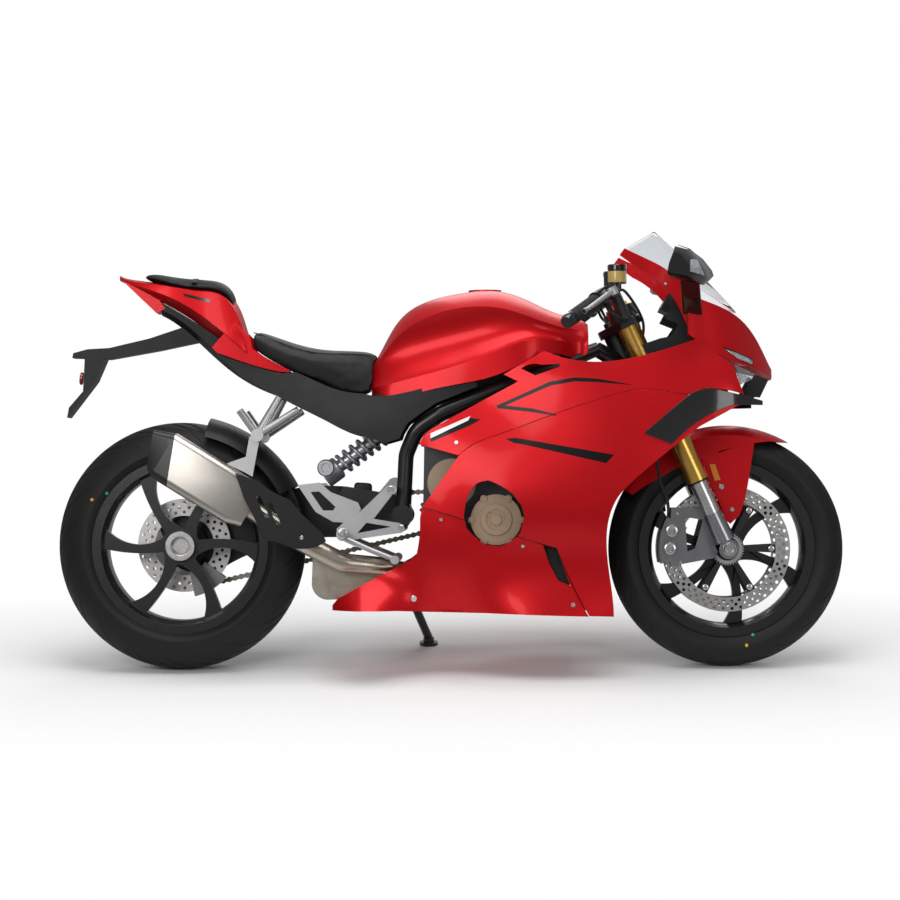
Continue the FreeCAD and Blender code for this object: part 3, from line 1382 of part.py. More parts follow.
mirror_span = 155.0
stalk_root_shares = (0.935, 0.640)
stalk_top_shares = (0.924, 0.702)
stalk_root_share = 0.82
mirror_stalk_spread = 268.0
stalk_length = 24.0
stalk_wall = 9.0


winglet_shares = [
    [(0.842, 0.427)], [(0.917, 0.490), (0.931, 0.500)], [(0.960, 0.508), (0.996, 0.500), (1.064, 0.484)],
    [(1.064, 0.477), (1.035, 0.477)], [(1.005, 0.477), (0.971, 0.465), (0.942, 0.449), (0.892, 0.407)]]


def winglets():
    """Dark winglet on each side of the nose, on the side panel's front corner."""
    plate = side_plate(winglet_shares, 0, fairing_half_width * 2)
    wall = side_wall(side_outset + winglet_wall + seat_gap + panel_wall - winglet_wall)
    return both_sides(wall.common(plate))


winglet_wall = 12.0


plate_arm_shares = [
    [(0.044, 0.604)], [(0.004, 0.629)], [(-0.057, 0.609), (-0.131, 0.592)], [(-0.171, 0.590)],
    [(-0.197, 0.583)], [(-0.199, 0.574)], [(-0.167, 0.573)], [(-0.131, 0.571), (-0.039, 0.587)]]
carrier_shares = [
    [(-0.1374, 0.5730)], [(-0.1744, 0.5745)], [(-0.178, 0.5123)], [(-0.204, 0.4826)], [(-0.2076, 0.464)],
    [(-0.1817, 0.4975)], [(-0.156, 0.5307)]]


def plate_hanger():
    """Tail bracket with the carrier for the number plate under its end."""
    arm = side_plate(plate_arm_shares, -hanger_half, hanger_half)
    tray = undertail()
    tray.translate(Vector(-running_gap / 2, 0, -running_gap / 2))
    arm = sorted(arm.cut(tray).Solids, key=lambda solid: solid.Volume)[-1]
    carrier = side_plate(carrier_shares, -carrier_half, carrier_half)
    return fused(arm, carrier)


hanger_half = 30.0
carrier_half = 48.0

undertail_sections_shares = [
    (-0.034, tail_section(0.692, (0.46, 0.690), (0.48, 0.660), 0.651)),
    (0.030, tail_section(0.660, (0.54, 0.655), (0.52, 0.618), 0.604)),
    (0.110, tail_section(0.590, (0.60, 0.586), (0.62, 0.548), 0.535)),
    (0.220, tail_section(0.530, (0.78, 0.530), (0.78, 0.500), 0.490)),
    (0.340, tail_section(0.496, (0.88, 0.494), (0.88, 0.460), 0.450))]


def undertail():
    """Inner tail frame and tray between the side covers."""
    tray = section_loft(undertail_sections_shares, tail_half_width)
    cowl = tail_cowl()
    seat = section_loft(rider_sections_shares, seat_half_width)
    for rise in (-running_gap, 0, running_gap):
        tray = tray.cut(moved(cowl, 0, rise))
    tray = tray.cut(moved(seat, 0, -soft_gap))
    return sorted(tray.Solids, key=lambda solid: solid.Volume)[-1]


def rear_hugger():
    """Inner rear guard close over the tyre, carried by the swingarm."""
    inner = rear_tyre_radius + hugger_clearance
    half = swingarm_inner - fender_wall - seat_gap
    return fender_arch(rear_axle, inner, half, rear_crown_radius, fender_wall, hugger_drop,
                       hugger_front_angle, hugger_rear_angle)


hugger_clearance = 16.0
hugger_drop = 46.0
hugger_front_angle = 27.0
hugger_rear_angle = 77.0

heel_plate_shares = [
    [(0.2187, 0.338)], [(0.2593, 0.3422)], [(0.2783, 0.3249)], [(0.328, 0.3056)], [(0.3334, 0.293)],
    [(0.3181, 0.2714)], [(0.3018, 0.2697)], [(0.2828, 0.2707)], [(0.2512, 0.289)]]
heel_window_shares = [[(0.2422, 0.3252)], [(0.2579, 0.326)], [(0.2873, 0.2978)], [(0.2828, 0.2915)],
                      [(0.2647, 0.2916)]]
hanger_top_shares = [(0.3810, 0.3360), (0.3960, 0.3270)]
hanger_plate_shares = [
    [(0.3560, 0.2760)], [(0.4030, 0.2680)], [(0.4080, 0.2510)],
    [(0.3150, 0.2380)], [(0.2930, 0.2410)], [(0.2890, 0.2580)], [(0.3060, 0.2740)], [(0.3200, 0.2780)]]
hanger_hole_shares = [[(0.3430, 0.2690)], [(0.3880, 0.2615)], [(0.3260, 0.2500)]]
boss_shares = [(0.3895, 0.3288), (0.4000, 0.2596)]
peg_root_shares = (0.300, 0.248)
pedal_shares = [(0.3050, 0.2400), (0.3500, 0.2200), (0.3940, 0.2020)]


def rearset(side, lift_share):
    """Footrest hanger: heel plate, cast bracket with its bosses, the peg and its pedal.

    The lift raises the upper boss, which clears the chain on the left.
    """
    inner, outer = rearset_spread, rearset_spread + hanger_wall
    heel = side_plate(heel_plate_shares, inner, inner + panel_wall)
    heel = heel.cut(side_plate(heel_window_shares, inner - overrun, outer + overrun))
    top = [[(x, z + lift_share)] for x, z in hanger_top_shares]
    bracket = side_plate(top + hanger_plate_shares, inner, outer)
    bracket = bracket.cut(side_plate(hanger_hole_shares, inner - overrun, outer + overrun))
    (high_x, high_z), low = boss_shares
    bosses = [bar(spot(x, z, pivot_spread - boss_half), spot(x, z, outer + panel_wall), rearset_radius)
              for x, z in [(high_x, high_z + lift_share), low]]
    root = spot(*peg_root_shares, inner)
    peg = bar(root, root + Vector(0, peg_length, 0), peg_radius)
    pivot = bar(root, root + Vector(0, hanger_wall * 2, 0), peg_radius + flange_wall)
    pedal_plane = outer + lever_radius / 2
    pedal = tube([spot(x, z, pedal_plane) for x, z in pedal_shares], lever_radius, spar_bend)
    toe_end = spot(*pedal_shares[-1], pedal_plane - lever_radius - panel_wall)
    toe = bar(toe_end, toe_end + Vector(0, toe_length, 0), lever_radius + panel_wall)
    whole = fused(heel, bracket, *bosses, peg, pivot, pedal, toe).cut(frame_rail(seat_gap))
    whole = sorted(whole.Solids, key=lambda solid: solid.Volume)[-1]
    return whole if side > 0 else mirrored(whole)


rearset_spread = 164.0
rearset_radius = 12.0
hanger_wall = 10.0
peg_radius = 11.0
peg_length = 88.0
toe_length = 34.0
chain_lift_share = 0.014


bracket_top_shares = [(0.1882, 0.505), (0.2355, 0.486)]
bracket_foot_shares = (0.1445, 0.4286)
silencer_lug_shares = [[(0.1500, 0.4300)], [(0.1354, 0.3535)], [(0.1214, 0.3615)], [(0.0874, 0.3775)],
                       [(0.1235, 0.3900)], [(0.1300, 0.4260)]]


def pillion_pegs():
    """Passenger footrest brackets: two arms from the tail to a folded peg; the right holds the silencer."""
    foot = spot(*bracket_foot_shares, pillion_spread)
    arms = []
    for (x, z), end_radius, setback in zip(bracket_top_shares, (rearset_radius, peg_radius), arm_setbacks):
        top = spot(x, z, pillion_spread - overrun)
        start = top + (foot - top).normalize() * setback
        arms.append(bar(start, foot, arm_root_radius, end_radius))
    peg = bar(foot, foot + Vector(-peg_length / 2, peg_radius, peg_length * peg_rise_share), arm_root_radius)
    boss_reach = Vector(0, rearset_radius + running_gap, 0)
    boss = bar(foot - boss_reach, foot + boss_reach, rearset_radius + panel_wall)
    left = fused(*arms, peg, boss)
    lug = side_plate(silencer_lug_shares, -pillion_spread - bracket_wall / 2, -pillion_spread + bracket_wall / 2)
    return Part.makeCompound([left, fused(mirrored(left), lug)])


pillion_spread = 118.0
arm_root_radius = 9.0
arm_setbacks = (13.0, 27.6)
peg_rise_share = 0.72


dash_shares = [[(0.880, 0.655)], [(0.905, 0.700)], [(0.917, 0.695)], [(0.895, 0.648)]]
dash_stay_shares = [[(0.895, 0.652)], [(0.903, 0.676)], [(0.965, 0.672)], [(0.965, 0.640)]]


def cockpit():
    """Instrument display on a stay that rests on the nose."""
    face = side_plate(dash_shares, -dash_half, dash_half)
    stay = side_plate(dash_stay_shares, -dash_half / 4, dash_half / 4)
    nose = nose_body(0)
    nose.translate(Vector(-running_gap / 2, 0, running_gap / 2))
    return sorted(fused(face, stay).cut(nose).Solids, key=lambda solid: solid.Volume)[-1]


dash_half = 70.0


# Side stand

stand_folded_way = Vector(-1.0, 0.18, -0.05)
stand_pivot = Vector(stand_pivot_place, stand_pivot_spread, stand_pivot_height)
stand_foot = Vector(stand_foot_place, stand_foot_spread, stand_foot_spread * math.tan(lean))
stand_axis = (stand_foot - stand_pivot).cross(stand_folded_way).normalize()


def side_stand():
    """Side stand: pivot lug bored for its pin, leg and a flat foot in the plane of the floor."""
    floor_up = Vector(0, -math.sin(lean), math.cos(lean))
    leg = bar(stand_pivot, stand_foot + floor_up * (stand_foot_wall + stand_leg_radius), stand_leg_radius)
    pad = Part.makeCylinder(stand_foot_radius, stand_foot_wall, stand_foot, floor_up)
    neck = Part.makeCylinder(stand_leg_radius * 1.3, stand_foot_wall * 2.5, stand_foot, floor_up)
    lug = bar(stand_pivot - stand_axis * stand_lug_half, stand_pivot + stand_axis * stand_lug_half,
              stand_lug_radius)
    bore = bar(stand_pivot - stand_axis * overrun, stand_pivot + stand_axis * overrun,
               stand_pin_radius + seat_gap)
    return fused(leg, pad, neck, lug).cut(bore)


def stand_bracket():
    """Two ears and a pin that hold the side stand, on an arm from the engine's rear corner."""
    ear_start = stand_lug_half + running_gap
    ear_end = ear_start + stand_ear_wall
    solids = [bar(stand_pivot - stand_axis * ear_end, stand_pivot + stand_axis * ear_end, stand_pin_radius)]
    for side in (-1, 1):
        solids.append(bar(stand_pivot + stand_axis * (side * ear_start),
                          stand_pivot + stand_axis * (side * ear_end), stand_lug_radius))
    arm_start = stand_pivot - stand_axis * (ear_end + stand_arm_radius)
    solids.append(bar(arm_start, spot(*stand_root_shares, case_half - stand_arm_radius * 2),
                      stand_arm_radius))
    return fused(*solids)


nodes = {
    "steering_head": steering_head(),
    "frame_spar_right": frame_spar(-1),
    "frame_spar_left": frame_spar(1),
    "engine_block": engine_block(),
    "clutch_cover": clutch_cover(),
    "radiator": radiator(),
    "exhaust_pipe": exhaust_pipe(),
    "silencer": silencer(),
    "heat_shield": heat_shield(),
    "fuel_tank": fuel_tank(),
    "rider_seat": rider_seat(),
    "pillion_seat": pillion_seat(),
    "tail_cowl": tail_cowl(),
    "undertail": undertail(),
    "side_cover_right": side_cover(-1),
    "side_cover_left": side_cover(1),
    "upper_fairing_right": upper_fairing(-1),
    "upper_fairing_left": upper_fairing(1),
    "side_fairing_right": side_fairing(-1),
    "side_fairing_left": side_fairing(1),
    "belly_fairing_right": belly_fairing(-1),
    "belly_fairing_left": belly_fairing(1),
    "nose_cowl": nose_cowl(),
    "headlamps": headlamps(),
    "windscreen": windscreen(),
    "mirrors": mirrors(),
    "winglets": winglets(),
    "cockpit": cockpit(),
    "swingarm": swingarm(),
    "rear_shock": rear_shock(),
    "rear_hugger": rear_hugger(),
    "plate_hanger": plate_hanger(),
    "rearset_right": rearset(-1, 0),
    "rearset_left": rearset(1, chain_lift_share),
    "pillion_pegs": pillion_pegs(),
    "rear_caliper": rear_caliper(),
    "drive_chain": chain(),
    "fork_legs": fork_legs(),
    "fork_clamps": fork_clamps(),
    "handlebar_right": handlebar(-1),
    "handlebar_left": handlebar(1),
    "front_fender": front_fender(),
    "front_calipers": front_calipers(),
    "brake_hoses": brake_hoses(),
    "front_axle": front_axle_bar(),
    "front_rim": front_rim(),
    "front_tyre": tyre(front_axle, front_tyre_radius, front_tyre_width, front_crown_radius,
                       front_rim_width),
    "front_discs": front_discs(),
    "rear_rim": rear_rim(),
    "rear_tyre": tyre(rear_axle, rear_tyre_radius, rear_tyre_width, rear_crown_radius,
                      rear_rim_width),
    "rear_disc": rear_disc(),
    "rear_drive": rear_drive(),
    "side_stand": side_stand(),
}

origin = Vector((wheelbase + front_tyre_radius - rear_tyre_radius) / 2,
                mirror_tip_height * math.sin(lean), 0)

os.makedirs("parts", exist_ok=True)
for name, shape in nodes.items():
    shape = shape.copy()
    shape.rotate(Vector(0, 0, 0), Vector(1, 0, 0), -lean_angle)
    shape.translate(origin * -1)
    shape.exportStep(os.path.join("parts", name + ".step"))
    print(name, len(shape.Solids), round(shape.Volume / 1e3), shape.isValid())
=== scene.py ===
import json
import math

import bmesh
import bpy
import numpy as np
from mathutils import Matrix, Vector
from mathutils.bvhtree import BVHTree


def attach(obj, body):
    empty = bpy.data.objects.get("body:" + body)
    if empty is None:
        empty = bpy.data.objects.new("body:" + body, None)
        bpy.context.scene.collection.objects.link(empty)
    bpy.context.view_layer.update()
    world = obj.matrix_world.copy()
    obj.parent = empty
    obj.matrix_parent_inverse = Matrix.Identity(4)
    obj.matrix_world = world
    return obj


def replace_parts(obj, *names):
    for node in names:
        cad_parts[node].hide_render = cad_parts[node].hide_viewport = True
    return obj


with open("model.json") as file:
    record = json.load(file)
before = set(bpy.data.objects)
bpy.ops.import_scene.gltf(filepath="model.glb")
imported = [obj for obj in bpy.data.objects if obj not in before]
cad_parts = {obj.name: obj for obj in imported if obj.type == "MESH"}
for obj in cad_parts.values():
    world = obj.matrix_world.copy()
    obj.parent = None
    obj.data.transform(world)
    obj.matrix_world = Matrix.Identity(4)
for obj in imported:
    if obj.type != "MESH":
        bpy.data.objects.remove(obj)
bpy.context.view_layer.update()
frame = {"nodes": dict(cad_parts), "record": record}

# The motorcycle leans on its side stand, so its own directions come from the wheels' joints:
# ahead is row +X, left runs along the rear axle, and up is square to both. All places below are
# the upright bike's millimetres: x forward from the rear axle, y to the left, z up from the floor.
MM = 0.001
SAME_PLACE = 0.01 * MM
TO_RIGHT, UPWARD = (0, -1, 0), (0, 0, 1)
joints = {joint["name"]: joint for joint in frame["record"]["behaviour"]["joints"]}
rear_axle = np.array(joints["rear_wheel_spin"]["pos_m"])
front_axle = np.array(joints["front_wheel_spin"]["pos_m"])
left = np.array(joints["rear_wheel_spin"]["axis"])
left = left / np.linalg.norm(left)
ahead = np.array([1.0, 0.0, 0.0])
up = np.cross(ahead, left)
floor_origin = rear_axle - up * (rear_axle[2] / up[2])
wheelbase = (front_axle[0] - rear_axle[0]) / MM
rear_height = rear_axle[2] / up[2] / MM
front_height = float((front_axle - floor_origin) @ up) / MM
rear_hub, front_hub = (0.0, rear_height), (wheelbase, front_height)

# The fork leans back by its rake, and its legs stand ahead of the steering axis by the fork offset.
rake = math.radians(24.0)
fork_offset = 32.0
fork_way = np.array([-math.sin(rake), 0.0, math.cos(rake)])
fork_front = np.array([math.cos(rake), 0.0, math.sin(rake)])
steering_foot = np.array([wheelbase, 0.0, front_height]) - fork_front * fork_offset


def floats(values):
    """The values as an array of floats."""
    return np.asarray(values, dtype=float)


def bike(x, y, z):
    """Row places of points given in the upright bike's millimetres."""
    x, y, z = (floats(value)[..., None] * MM for value in (x, y, z))
    return floor_origin + x * ahead + y * left + z * up


# Meshes

def full_turn(steps):
    """Angles round a full turn in even steps."""
    return np.linspace(0, 2 * math.pi, steps, endpoint=False)


def about_hub(hub, radius, turn, y):
    """Places at a radius and an angle about the left-right line through a hub (x, z)."""
    places = hub[0] + radius * np.cos(turn), y, hub[1] + radius * np.sin(turn)
    return np.stack(np.broadcast_arrays(*places), axis=-1)


def merged(mesh, sharp_degrees=32.0, recalculate=True):
    """Joins doubled points, turns faces outwards and shades smooth between sharp edges."""
    work = bmesh.new()
    work.from_mesh(mesh)
    bmesh.ops.remove_doubles(work, verts=work.verts, dist=SAME_PLACE)
    bmesh.ops.dissolve_degenerate(work, edges=work.edges, dist=SAME_PLACE / 2)
    if recalculate:
        bmesh.ops.recalc_face_normals(work, faces=work.faces)
    for face in work.faces:
        face.smooth = True
    limit = math.radians(sharp_degrees)
    for edge in work.edges:
        edge.smooth = len(edge.link_faces) == 2 and edge.calc_face_angle(0.0) < limit
    work.to_mesh(mesh)
    work.free()


def linked(name, data):
    """New object in the scene."""
    thing = bpy.data.objects.new(name, data)
    bpy.context.collection.objects.link(thing)
    return thing


def piece(name, part, paint, body, sharp_degrees=32.0):
    """New object from a part, which is an array of bike places and its faces, riding on a body."""
    mesh = bpy.data.meshes.new(name)
    points, faces = part
    points = floats(points).reshape(-1, 3)
    mesh.from_pydata(bike(*points.T).tolist(), [], [list(face) for face in faces])
    merged(mesh, sharp_degrees)
    mesh.materials.append(paint.material)
    thing = linked(name, mesh)
    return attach(thing, body)


def quads(rows, columns, wrap_rows=False, wrap_columns=False):
    """Faces of a grid of rows by columns, joined end to end where wrapped."""
    row_count = rows if wrap_rows else rows - 1
    column_count = columns if wrap_columns else columns - 1
    row, column = np.meshgrid(np.arange(row_count), np.arange(column_count), indexing="ij")
    next_row, next_column = (row + 1) % rows, (column + 1) % columns
    corners = [row * columns + column, row * columns + next_column,
               next_row * columns + next_column, next_row * columns + column]
    return np.stack(corners, axis=-1).reshape(-1, 4)


def closed_grid(grid):
    """Points and faces of rings in a row, with both ends closed by a middle point."""
    rings = floats(grid)
    first = np.repeat(rings[:1].mean(axis=1, keepdims=True), rings.shape[1], axis=1)
    last = np.repeat(rings[-1:].mean(axis=1, keepdims=True), rings.shape[1], axis=1)
    rings = np.concatenate([first, rings, last])
    return rings.reshape(-1, 3), quads(rings.shape[0], rings.shape[1], wrap_columns=True)


def unit(vectors):
    """Vectors of length one along the last axis."""
    vectors = floats(vectors)
    return vectors / np.maximum(np.linalg.norm(vectors, axis=-1, keepdims=True), 1e-9)


def smooth_path(points, count):
    """Points along a smooth curve through the given ones: a Catmull-Rom curve, evenly counted."""
    points = floats(points)
    padded = np.concatenate([points[:1] * 2 - points[1:2], points, points[-1:] * 2 - points[-2:-1]])
    place = np.linspace(0, len(points) - 1, count)
    index = np.minimum(place.astype(int), len(points) - 2)
    t = (place - index)[:, None]
    a, b, c, d = (padded[index + step] for step in range(4))
    return 0.5 * (2 * b + (c - a) * t + (2 * a - 5 * b + 4 * c - d) * t ** 2
                  + (3 * b - a - 3 * c + d) * t ** 3)


def sweep(path, radius, sides):
    """Tube: a circle carried along the path, square to it, with a radius for each point."""
    path = floats(path)
    radius = np.broadcast_to(floats(radius), (len(path),))
    along = unit(np.gradient(path, axis=0))
    hint = np.array([0.0, 1.0, 0.0]) if abs(along[:, 1]).max() < 0.9 else np.array([0.3, 0.0, 1.0])
    first = unit(np.cross(along, hint))
    second = np.cross(along, first)
    turn = full_turn(sides)[None, :, None]
    return closed_grid(path[:, None] + radius[:, None, None] * (
        np.cos(turn) * first[:, None] + np.sin(turn) * second[:, None]))


def turned_along(profile, start, way, steps=20):
    """Solid turned about a line: profile points (radius, distance) from start along way."""
    profile = floats(profile)
    way = unit(way)
    first = unit(np.cross(way, [0.31, 0.17, 0.93]))
    second = np.cross(way, first)
    turn = full_turn(steps)[None, :, None]
    rings = (floats(start) + way * profile[:, None, 1:2]
             + profile[:, None, 0:1] * (np.cos(turn) * first + np.sin(turn) * second))
    return closed_grid(rings)


def plate(outline, inner, outer):
    """Flat plate between two distances from the middle plane: outline points are (x, z)."""
    outline = floats(outline)
    count = len(outline)
    points = np.concatenate([np.column_stack([outline[:, 0], np.full(count, y), outline[:, 1]])
                             for y in (inner, outer)])
    faces = [tuple(range(count)), tuple(range(2 * count - 1, count - 1, -1))]
    faces += [(i, (i + 1) % count, count + (i + 1) % count, count + i) for i in range(count)]
    return points, faces


def joined(parts):
    """One list of points and faces from several."""
    points, faces, offset = [], [], 0
    for part_points, part_faces in parts:
        part_points = floats(part_points).reshape(-1, 3)
        points.append(part_points)
        faces += [tuple(int(corner) + offset for corner in face) for face in part_faces]
        offset += len(part_points)
    return np.concatenate(points), faces


def mirror_y(part):
    """The same part on the other side of the middle plane."""
    points, faces = part
    return floats(points) * [1, -1, 1], faces


def both(part):
    """A part with its mirror image."""
    return joined([part, mirror_y(part)])


# Paints

def math_method(operation, swapped=False):
    """Method that adds a Math node of a value and its other terms, in this order or swapped."""

    def method(self, *others):
        terms = (*others, self) if swapped else (self, *others)
        return self.paint.node("ShaderNodeMath", {"operation": operation}, dict(enumerate(terms)))
    return method


class Value:
    """A socket of a paint. Sums, products and comparisons of values add Math nodes."""

    def __init__(self, paint, socket):
        self.paint, self.socket = paint, socket

    __add__, __radd__ = math_method("ADD"), math_method("ADD", swapped=True)
    __sub__, __rsub__ = math_method("SUBTRACT"), math_method("SUBTRACT", swapped=True)
    __mul__, __rmul__ = math_method("MULTIPLY"), math_method("MULTIPLY", swapped=True)
    __truediv__, __pow__, __abs__ = math_method("DIVIDE"), math_method("POWER"), math_method("ABSOLUTE")
    __gt__, __lt__ = math_method("GREATER_THAN"), math_method("LESS_THAN")
    wave = math_method("SINE")


class Paint:
    """A material on one Principled shader. Fixed values are set on the shader's own sockets."""

    def __init__(self, name, color, **fixed):
        self.material = bpy.data.materials.new(name)
        self.material.use_nodes = True
        self.tree = self.material.node_tree
        self.shader = self.tree.nodes["Principled BSDF"]
        self.shader.inputs["Base Color"].default_value = (*color, 1.0)
        for socket, value in fixed.items():
            title = socket.replace("_", " ").title().replace("Ior", "IOR")
            self.shader.inputs[title].default_value = value

    def node(self, kind, settings=None, inputs=None, output=0):
        """Any node: its settings first, then values or links for its sockets."""
        made = self.tree.nodes.new(kind)
        for name, value in (settings or {}).items():
            setattr(made, name, value)
        for name, value in (inputs or {}).items():
            if isinstance(value, Value):
                self.tree.links.new(value.socket, made.inputs[name])
            else:
                made.inputs[name].default_value = value
        return Value(self, made.outputs[output])

    def feed(self, socket, value):
        """Links a value into one of the shader's sockets."""
        self.tree.links.new(value.socket, self.shader.inputs[socket])
        return self

    def tint(self, share, first, second):
        """Feeds the base colour with a mix."""
        return self.feed("Base Color", self.mix(share, first, second))

    def cover(self, share, color):
        """Lays a colour over what the base colour has been fed so far, where the share is one."""
        below = Value(self, self.shader.inputs["Base Color"].links[0].from_socket)
        return self.tint(share, below, color)

    def place(self):
        return self.node("ShaderNodeTexCoord", output="Object")

    def along(self, way, start=(0.0, 0.0, 0.0)):
        """Millimetres along a direction given in the bike's own axes, from a place in them."""
        way = floats(way)
        row_way = way[0] * ahead + way[1] * left + way[2] * up
        value = self.node("ShaderNodeVectorMath", {"operation": "DOT_PRODUCT"}, {
            0: self.place(), 1: tuple(row_way / MM)}, output="Value")
        return value - float(bike(*start) @ row_way / MM)

    def inside(self, corners):
        """One inside a convex side-view outline of (x, z) corners, given clockwise or not."""
        corners = floats(corners)
        following = np.roll(corners, -1, axis=0)
        area = np.sum(corners[:, 0] * following[:, 1] - following[:, 0] * corners[:, 1])
        mask = None
        for (x, z), (next_x, next_z) in zip(corners, following):
            way = np.array([-(next_z - z), 0.0, next_x - x]) * math.copysign(1.0, area)
            side = self.along(way / np.linalg.norm(way), (x, 0.0, z)) > 0.0
            mask = side if mask is None else mask * side
        return mask

    def noise(self, scale, detail=2.0, roughness=0.5, stretch=None):
        vector = self.place()
        if stretch is not None:
            vector = self.node("ShaderNodeVectorMath", {"operation": "MULTIPLY"}, {
                0: vector, 1: stretch})
        return self.node("ShaderNodeTexNoise", {}, {
            "Vector": vector, "Scale": scale, "Detail": detail, "Roughness": roughness})

    def ramp(self, value, low, high):
        """Value stretched so that low becomes 0 and high becomes 1, held between them."""
        return self.node("ShaderNodeMapRange", {}, {
            "Value": value, "From Min": low, "From Max": high})

    def mix(self, share, first, second):
        return self.node("ShaderNodeMix", {"data_type": "RGBA"}, {
            0: share, 6: (*first, 1.0) if isinstance(first, tuple) else first,
            7: (*second, 1.0) if isinstance(second, tuple) else second}, output=2)

    def bump(self, height, strength, distance=0.001):
        value = self.node("ShaderNodeBump", {}, {
            "Height": height, "Strength": strength, "Distance": distance})
        return self.feed("Normal", value)


def grained(name, color, grain=60.0, swing=0.10, rough=0.5, rough_swing=0.12, depth=0.12,
            pits=900.0, **fixed):
    """Paint whose colour and roughness follow one soft noise, over a fine pitted grain."""
    paint = Paint(name, color, roughness=rough, **fixed)
    noise = paint.noise(grain, 3.0)
    dark = tuple(channel * (1 - swing) for channel in color)
    light = tuple(min(1.0, channel * (1 + swing)) for channel in color)
    paint.tint(noise, dark, light)
    paint.feed("Roughness", noise * rough_swing + (rough - rough_swing / 2))
    paint.bump(paint.noise(pits, 2.0), depth, 0.0002)
    return paint


RED = (0.58, 0.0024, 0.0070)
BLACK_MARK = (0.006, 0.006, 0.007)


def body_red(name, marks=(), painted_highlights=()):
    """Satin red lacquer with a fine metal flake; black marks and pale grey painted highlights lie in side
    outlines.
    """
    paint = Paint(name, RED, metallic=0.50, coat_weight=0.16, coat_roughness=0.10,
                  specular_ior_level=0.25)
    flake = paint.noise(2600.0, 1.0)
    cloud = paint.noise(7.0, 2.0)
    color = paint.mix(cloud, tuple(c * 0.90 for c in RED), tuple(c * 1.10 for c in RED))
    color = paint.mix(paint.ramp(flake, 0.62, 0.74) * 0.35, color, (0.85, 0.03, 0.04))
    rough = cloud * 0.06 + 0.35
    # The pale grey marks are painted highlights: light laid into the colour where a crease catches it.
    for outlines, mark_color in ((marks, BLACK_MARK), (painted_highlights, (0.78, 0.78, 0.78))):
        for outline in outlines:
            color = paint.mix(paint.inside(outline), color, mark_color)
    paint.feed("Base Color", color)
    paint.feed("Roughness", rough)
    paint.bump(flake, 0.05, 0.0001)
    return paint


def band(centres, widths):
    """Side outlines of a stripe: one four-cornered piece for each step along its middle line."""
    centres, widths = floats(centres), floats(widths)
    along_line = np.gradient(centres, axis=0)
    across = np.column_stack([-along_line[:, 1], along_line[:, 0]])
    across = across / np.linalg.norm(across, axis=1, keepdims=True) * widths[:, None] / 2
    over, under = centres + across, centres - across
    return [[over[i], over[i + 1], under[i + 1], under[i]] for i in range(len(centres) - 1)]


stripes = band([(806, 661), (872, 690), (939, 719), (999, 729), (1056, 726), (1142, 714)],
               [9, 9, 10, 10, 9, 1])
stripes += band([(809, 663), (893, 653), (953, 640)], [9, 9, 4])
stripes += [[(852, 584), (1096, 540), (1076, 519), (872, 567)],
            [(826, 582), (852, 584), (872, 567), (848, 571)],
            [(639, 587), (734, 636), (766, 631), (738, 616), (639, 575)]]
# Painted highlight: a pale grey line along a fairing crease, where the light catches the edge.
painted_edge_highlight = [[(639, 597), (739, 640), (734, 629), (639, 585)]]
nose_marks = [[(1372, 812), (1446, 786), (1458, 776), (1454, 764), (1418, 777)],
              [(1404, 768), (1452, 748), (1492, 733), (1492, 720), (1412, 748)],
              [(1440, 704), (1470, 744), (1500, 732), (1472, 686)]]
red = body_red("red_lacquer")
nose_red = body_red("nose_red", nose_marks)
red_striped = body_red("red_striped", stripes, painted_edge_highlight)
satin_black = grained("satin_black_plastic", (0.0095, 0.0095, 0.0105), 40.0, rough=0.46, depth=0.22,
                      specular_ior_level=0.32)
gloss_black = grained("gloss_black", (0.0060, 0.0060, 0.0066), 20.0, rough=0.16, rough_swing=0.05,
                      depth=0.03, coat_weight=0.6, coat_roughness=0.05)
wheel_black = grained("wheel_black", (0.0060, 0.0060, 0.0064), 30.0, rough=0.26, rough_swing=0.08,
                      depth=0.05, coat_weight=0.4, coat_roughness=0.12)
frame_black = grained("frame_black", (0.0085, 0.0085, 0.0095), 50.0, rough=0.34, depth=0.10,
                      coat_weight=0.2)
tyre_rubber = grained("tyre_rubber", (0.0095, 0.0096, 0.0102), 25.0, rough=0.55, depth=0.35,
                      specular_ior_level=0.30)
seat_vinyl = grained("seat_vinyl", (0.0110, 0.0112, 0.0125), 30.0, rough=0.58, depth=0.6, pits=420.0,
                     specular_ior_level=0.32)
alloy = grained("cast_alloy", (0.50, 0.50, 0.51), 35.0, rough=0.40, depth=0.25, metallic=0.85)
caliper_alloy = grained("caliper_alloy", (0.22, 0.22, 0.235), 35.0, rough=0.38, depth=0.2,
                        metallic=0.8)
bronze = grained("bronze_cover", (0.50, 0.36, 0.245), 40.0, rough=0.42, depth=0.25, metallic=0.75)
bolt_steel = grained("bolt_steel", (0.62, 0.61, 0.60), 60.0, rough=0.25, depth=0.05, metallic=1.0)
spring_grey = grained("spring_grey", (0.56, 0.57, 0.60), 30.0, rough=0.33, depth=0.06, metallic=0.7)
chain_steel = grained("chain_steel", (0.30, 0.27, 0.22), 50.0, rough=0.35, metallic=1.0)
engine_cast = grained("engine_cast", (0.085, 0.085, 0.088), 35.0, rough=0.42, depth=0.3, metallic=0.6)
generator_middle, generator_radius, generator_face = (691.0, 0.0, 473.0), 61.0, 128.5
cover_x = engine_cast.along((1, 0, 0), generator_middle)
cover_z = engine_cast.along((0, 0, 1), generator_middle)
cover_face = ((cover_x * cover_x + cover_z * cover_z) ** 0.5 < generator_radius) * (
    abs(engine_cast.along((0, 1, 0))) > generator_face)
engine_cast.cover(cover_face, (0.46, 0.35, 0.25))
radiator_black = grained("radiator_black", (0.03, 0.03, 0.032), 60.0, rough=0.5, metallic=0.4)
grip_rubber = grained("grip_rubber", (0.017, 0.017, 0.018), 60.0, rough=0.7, depth=0.5)


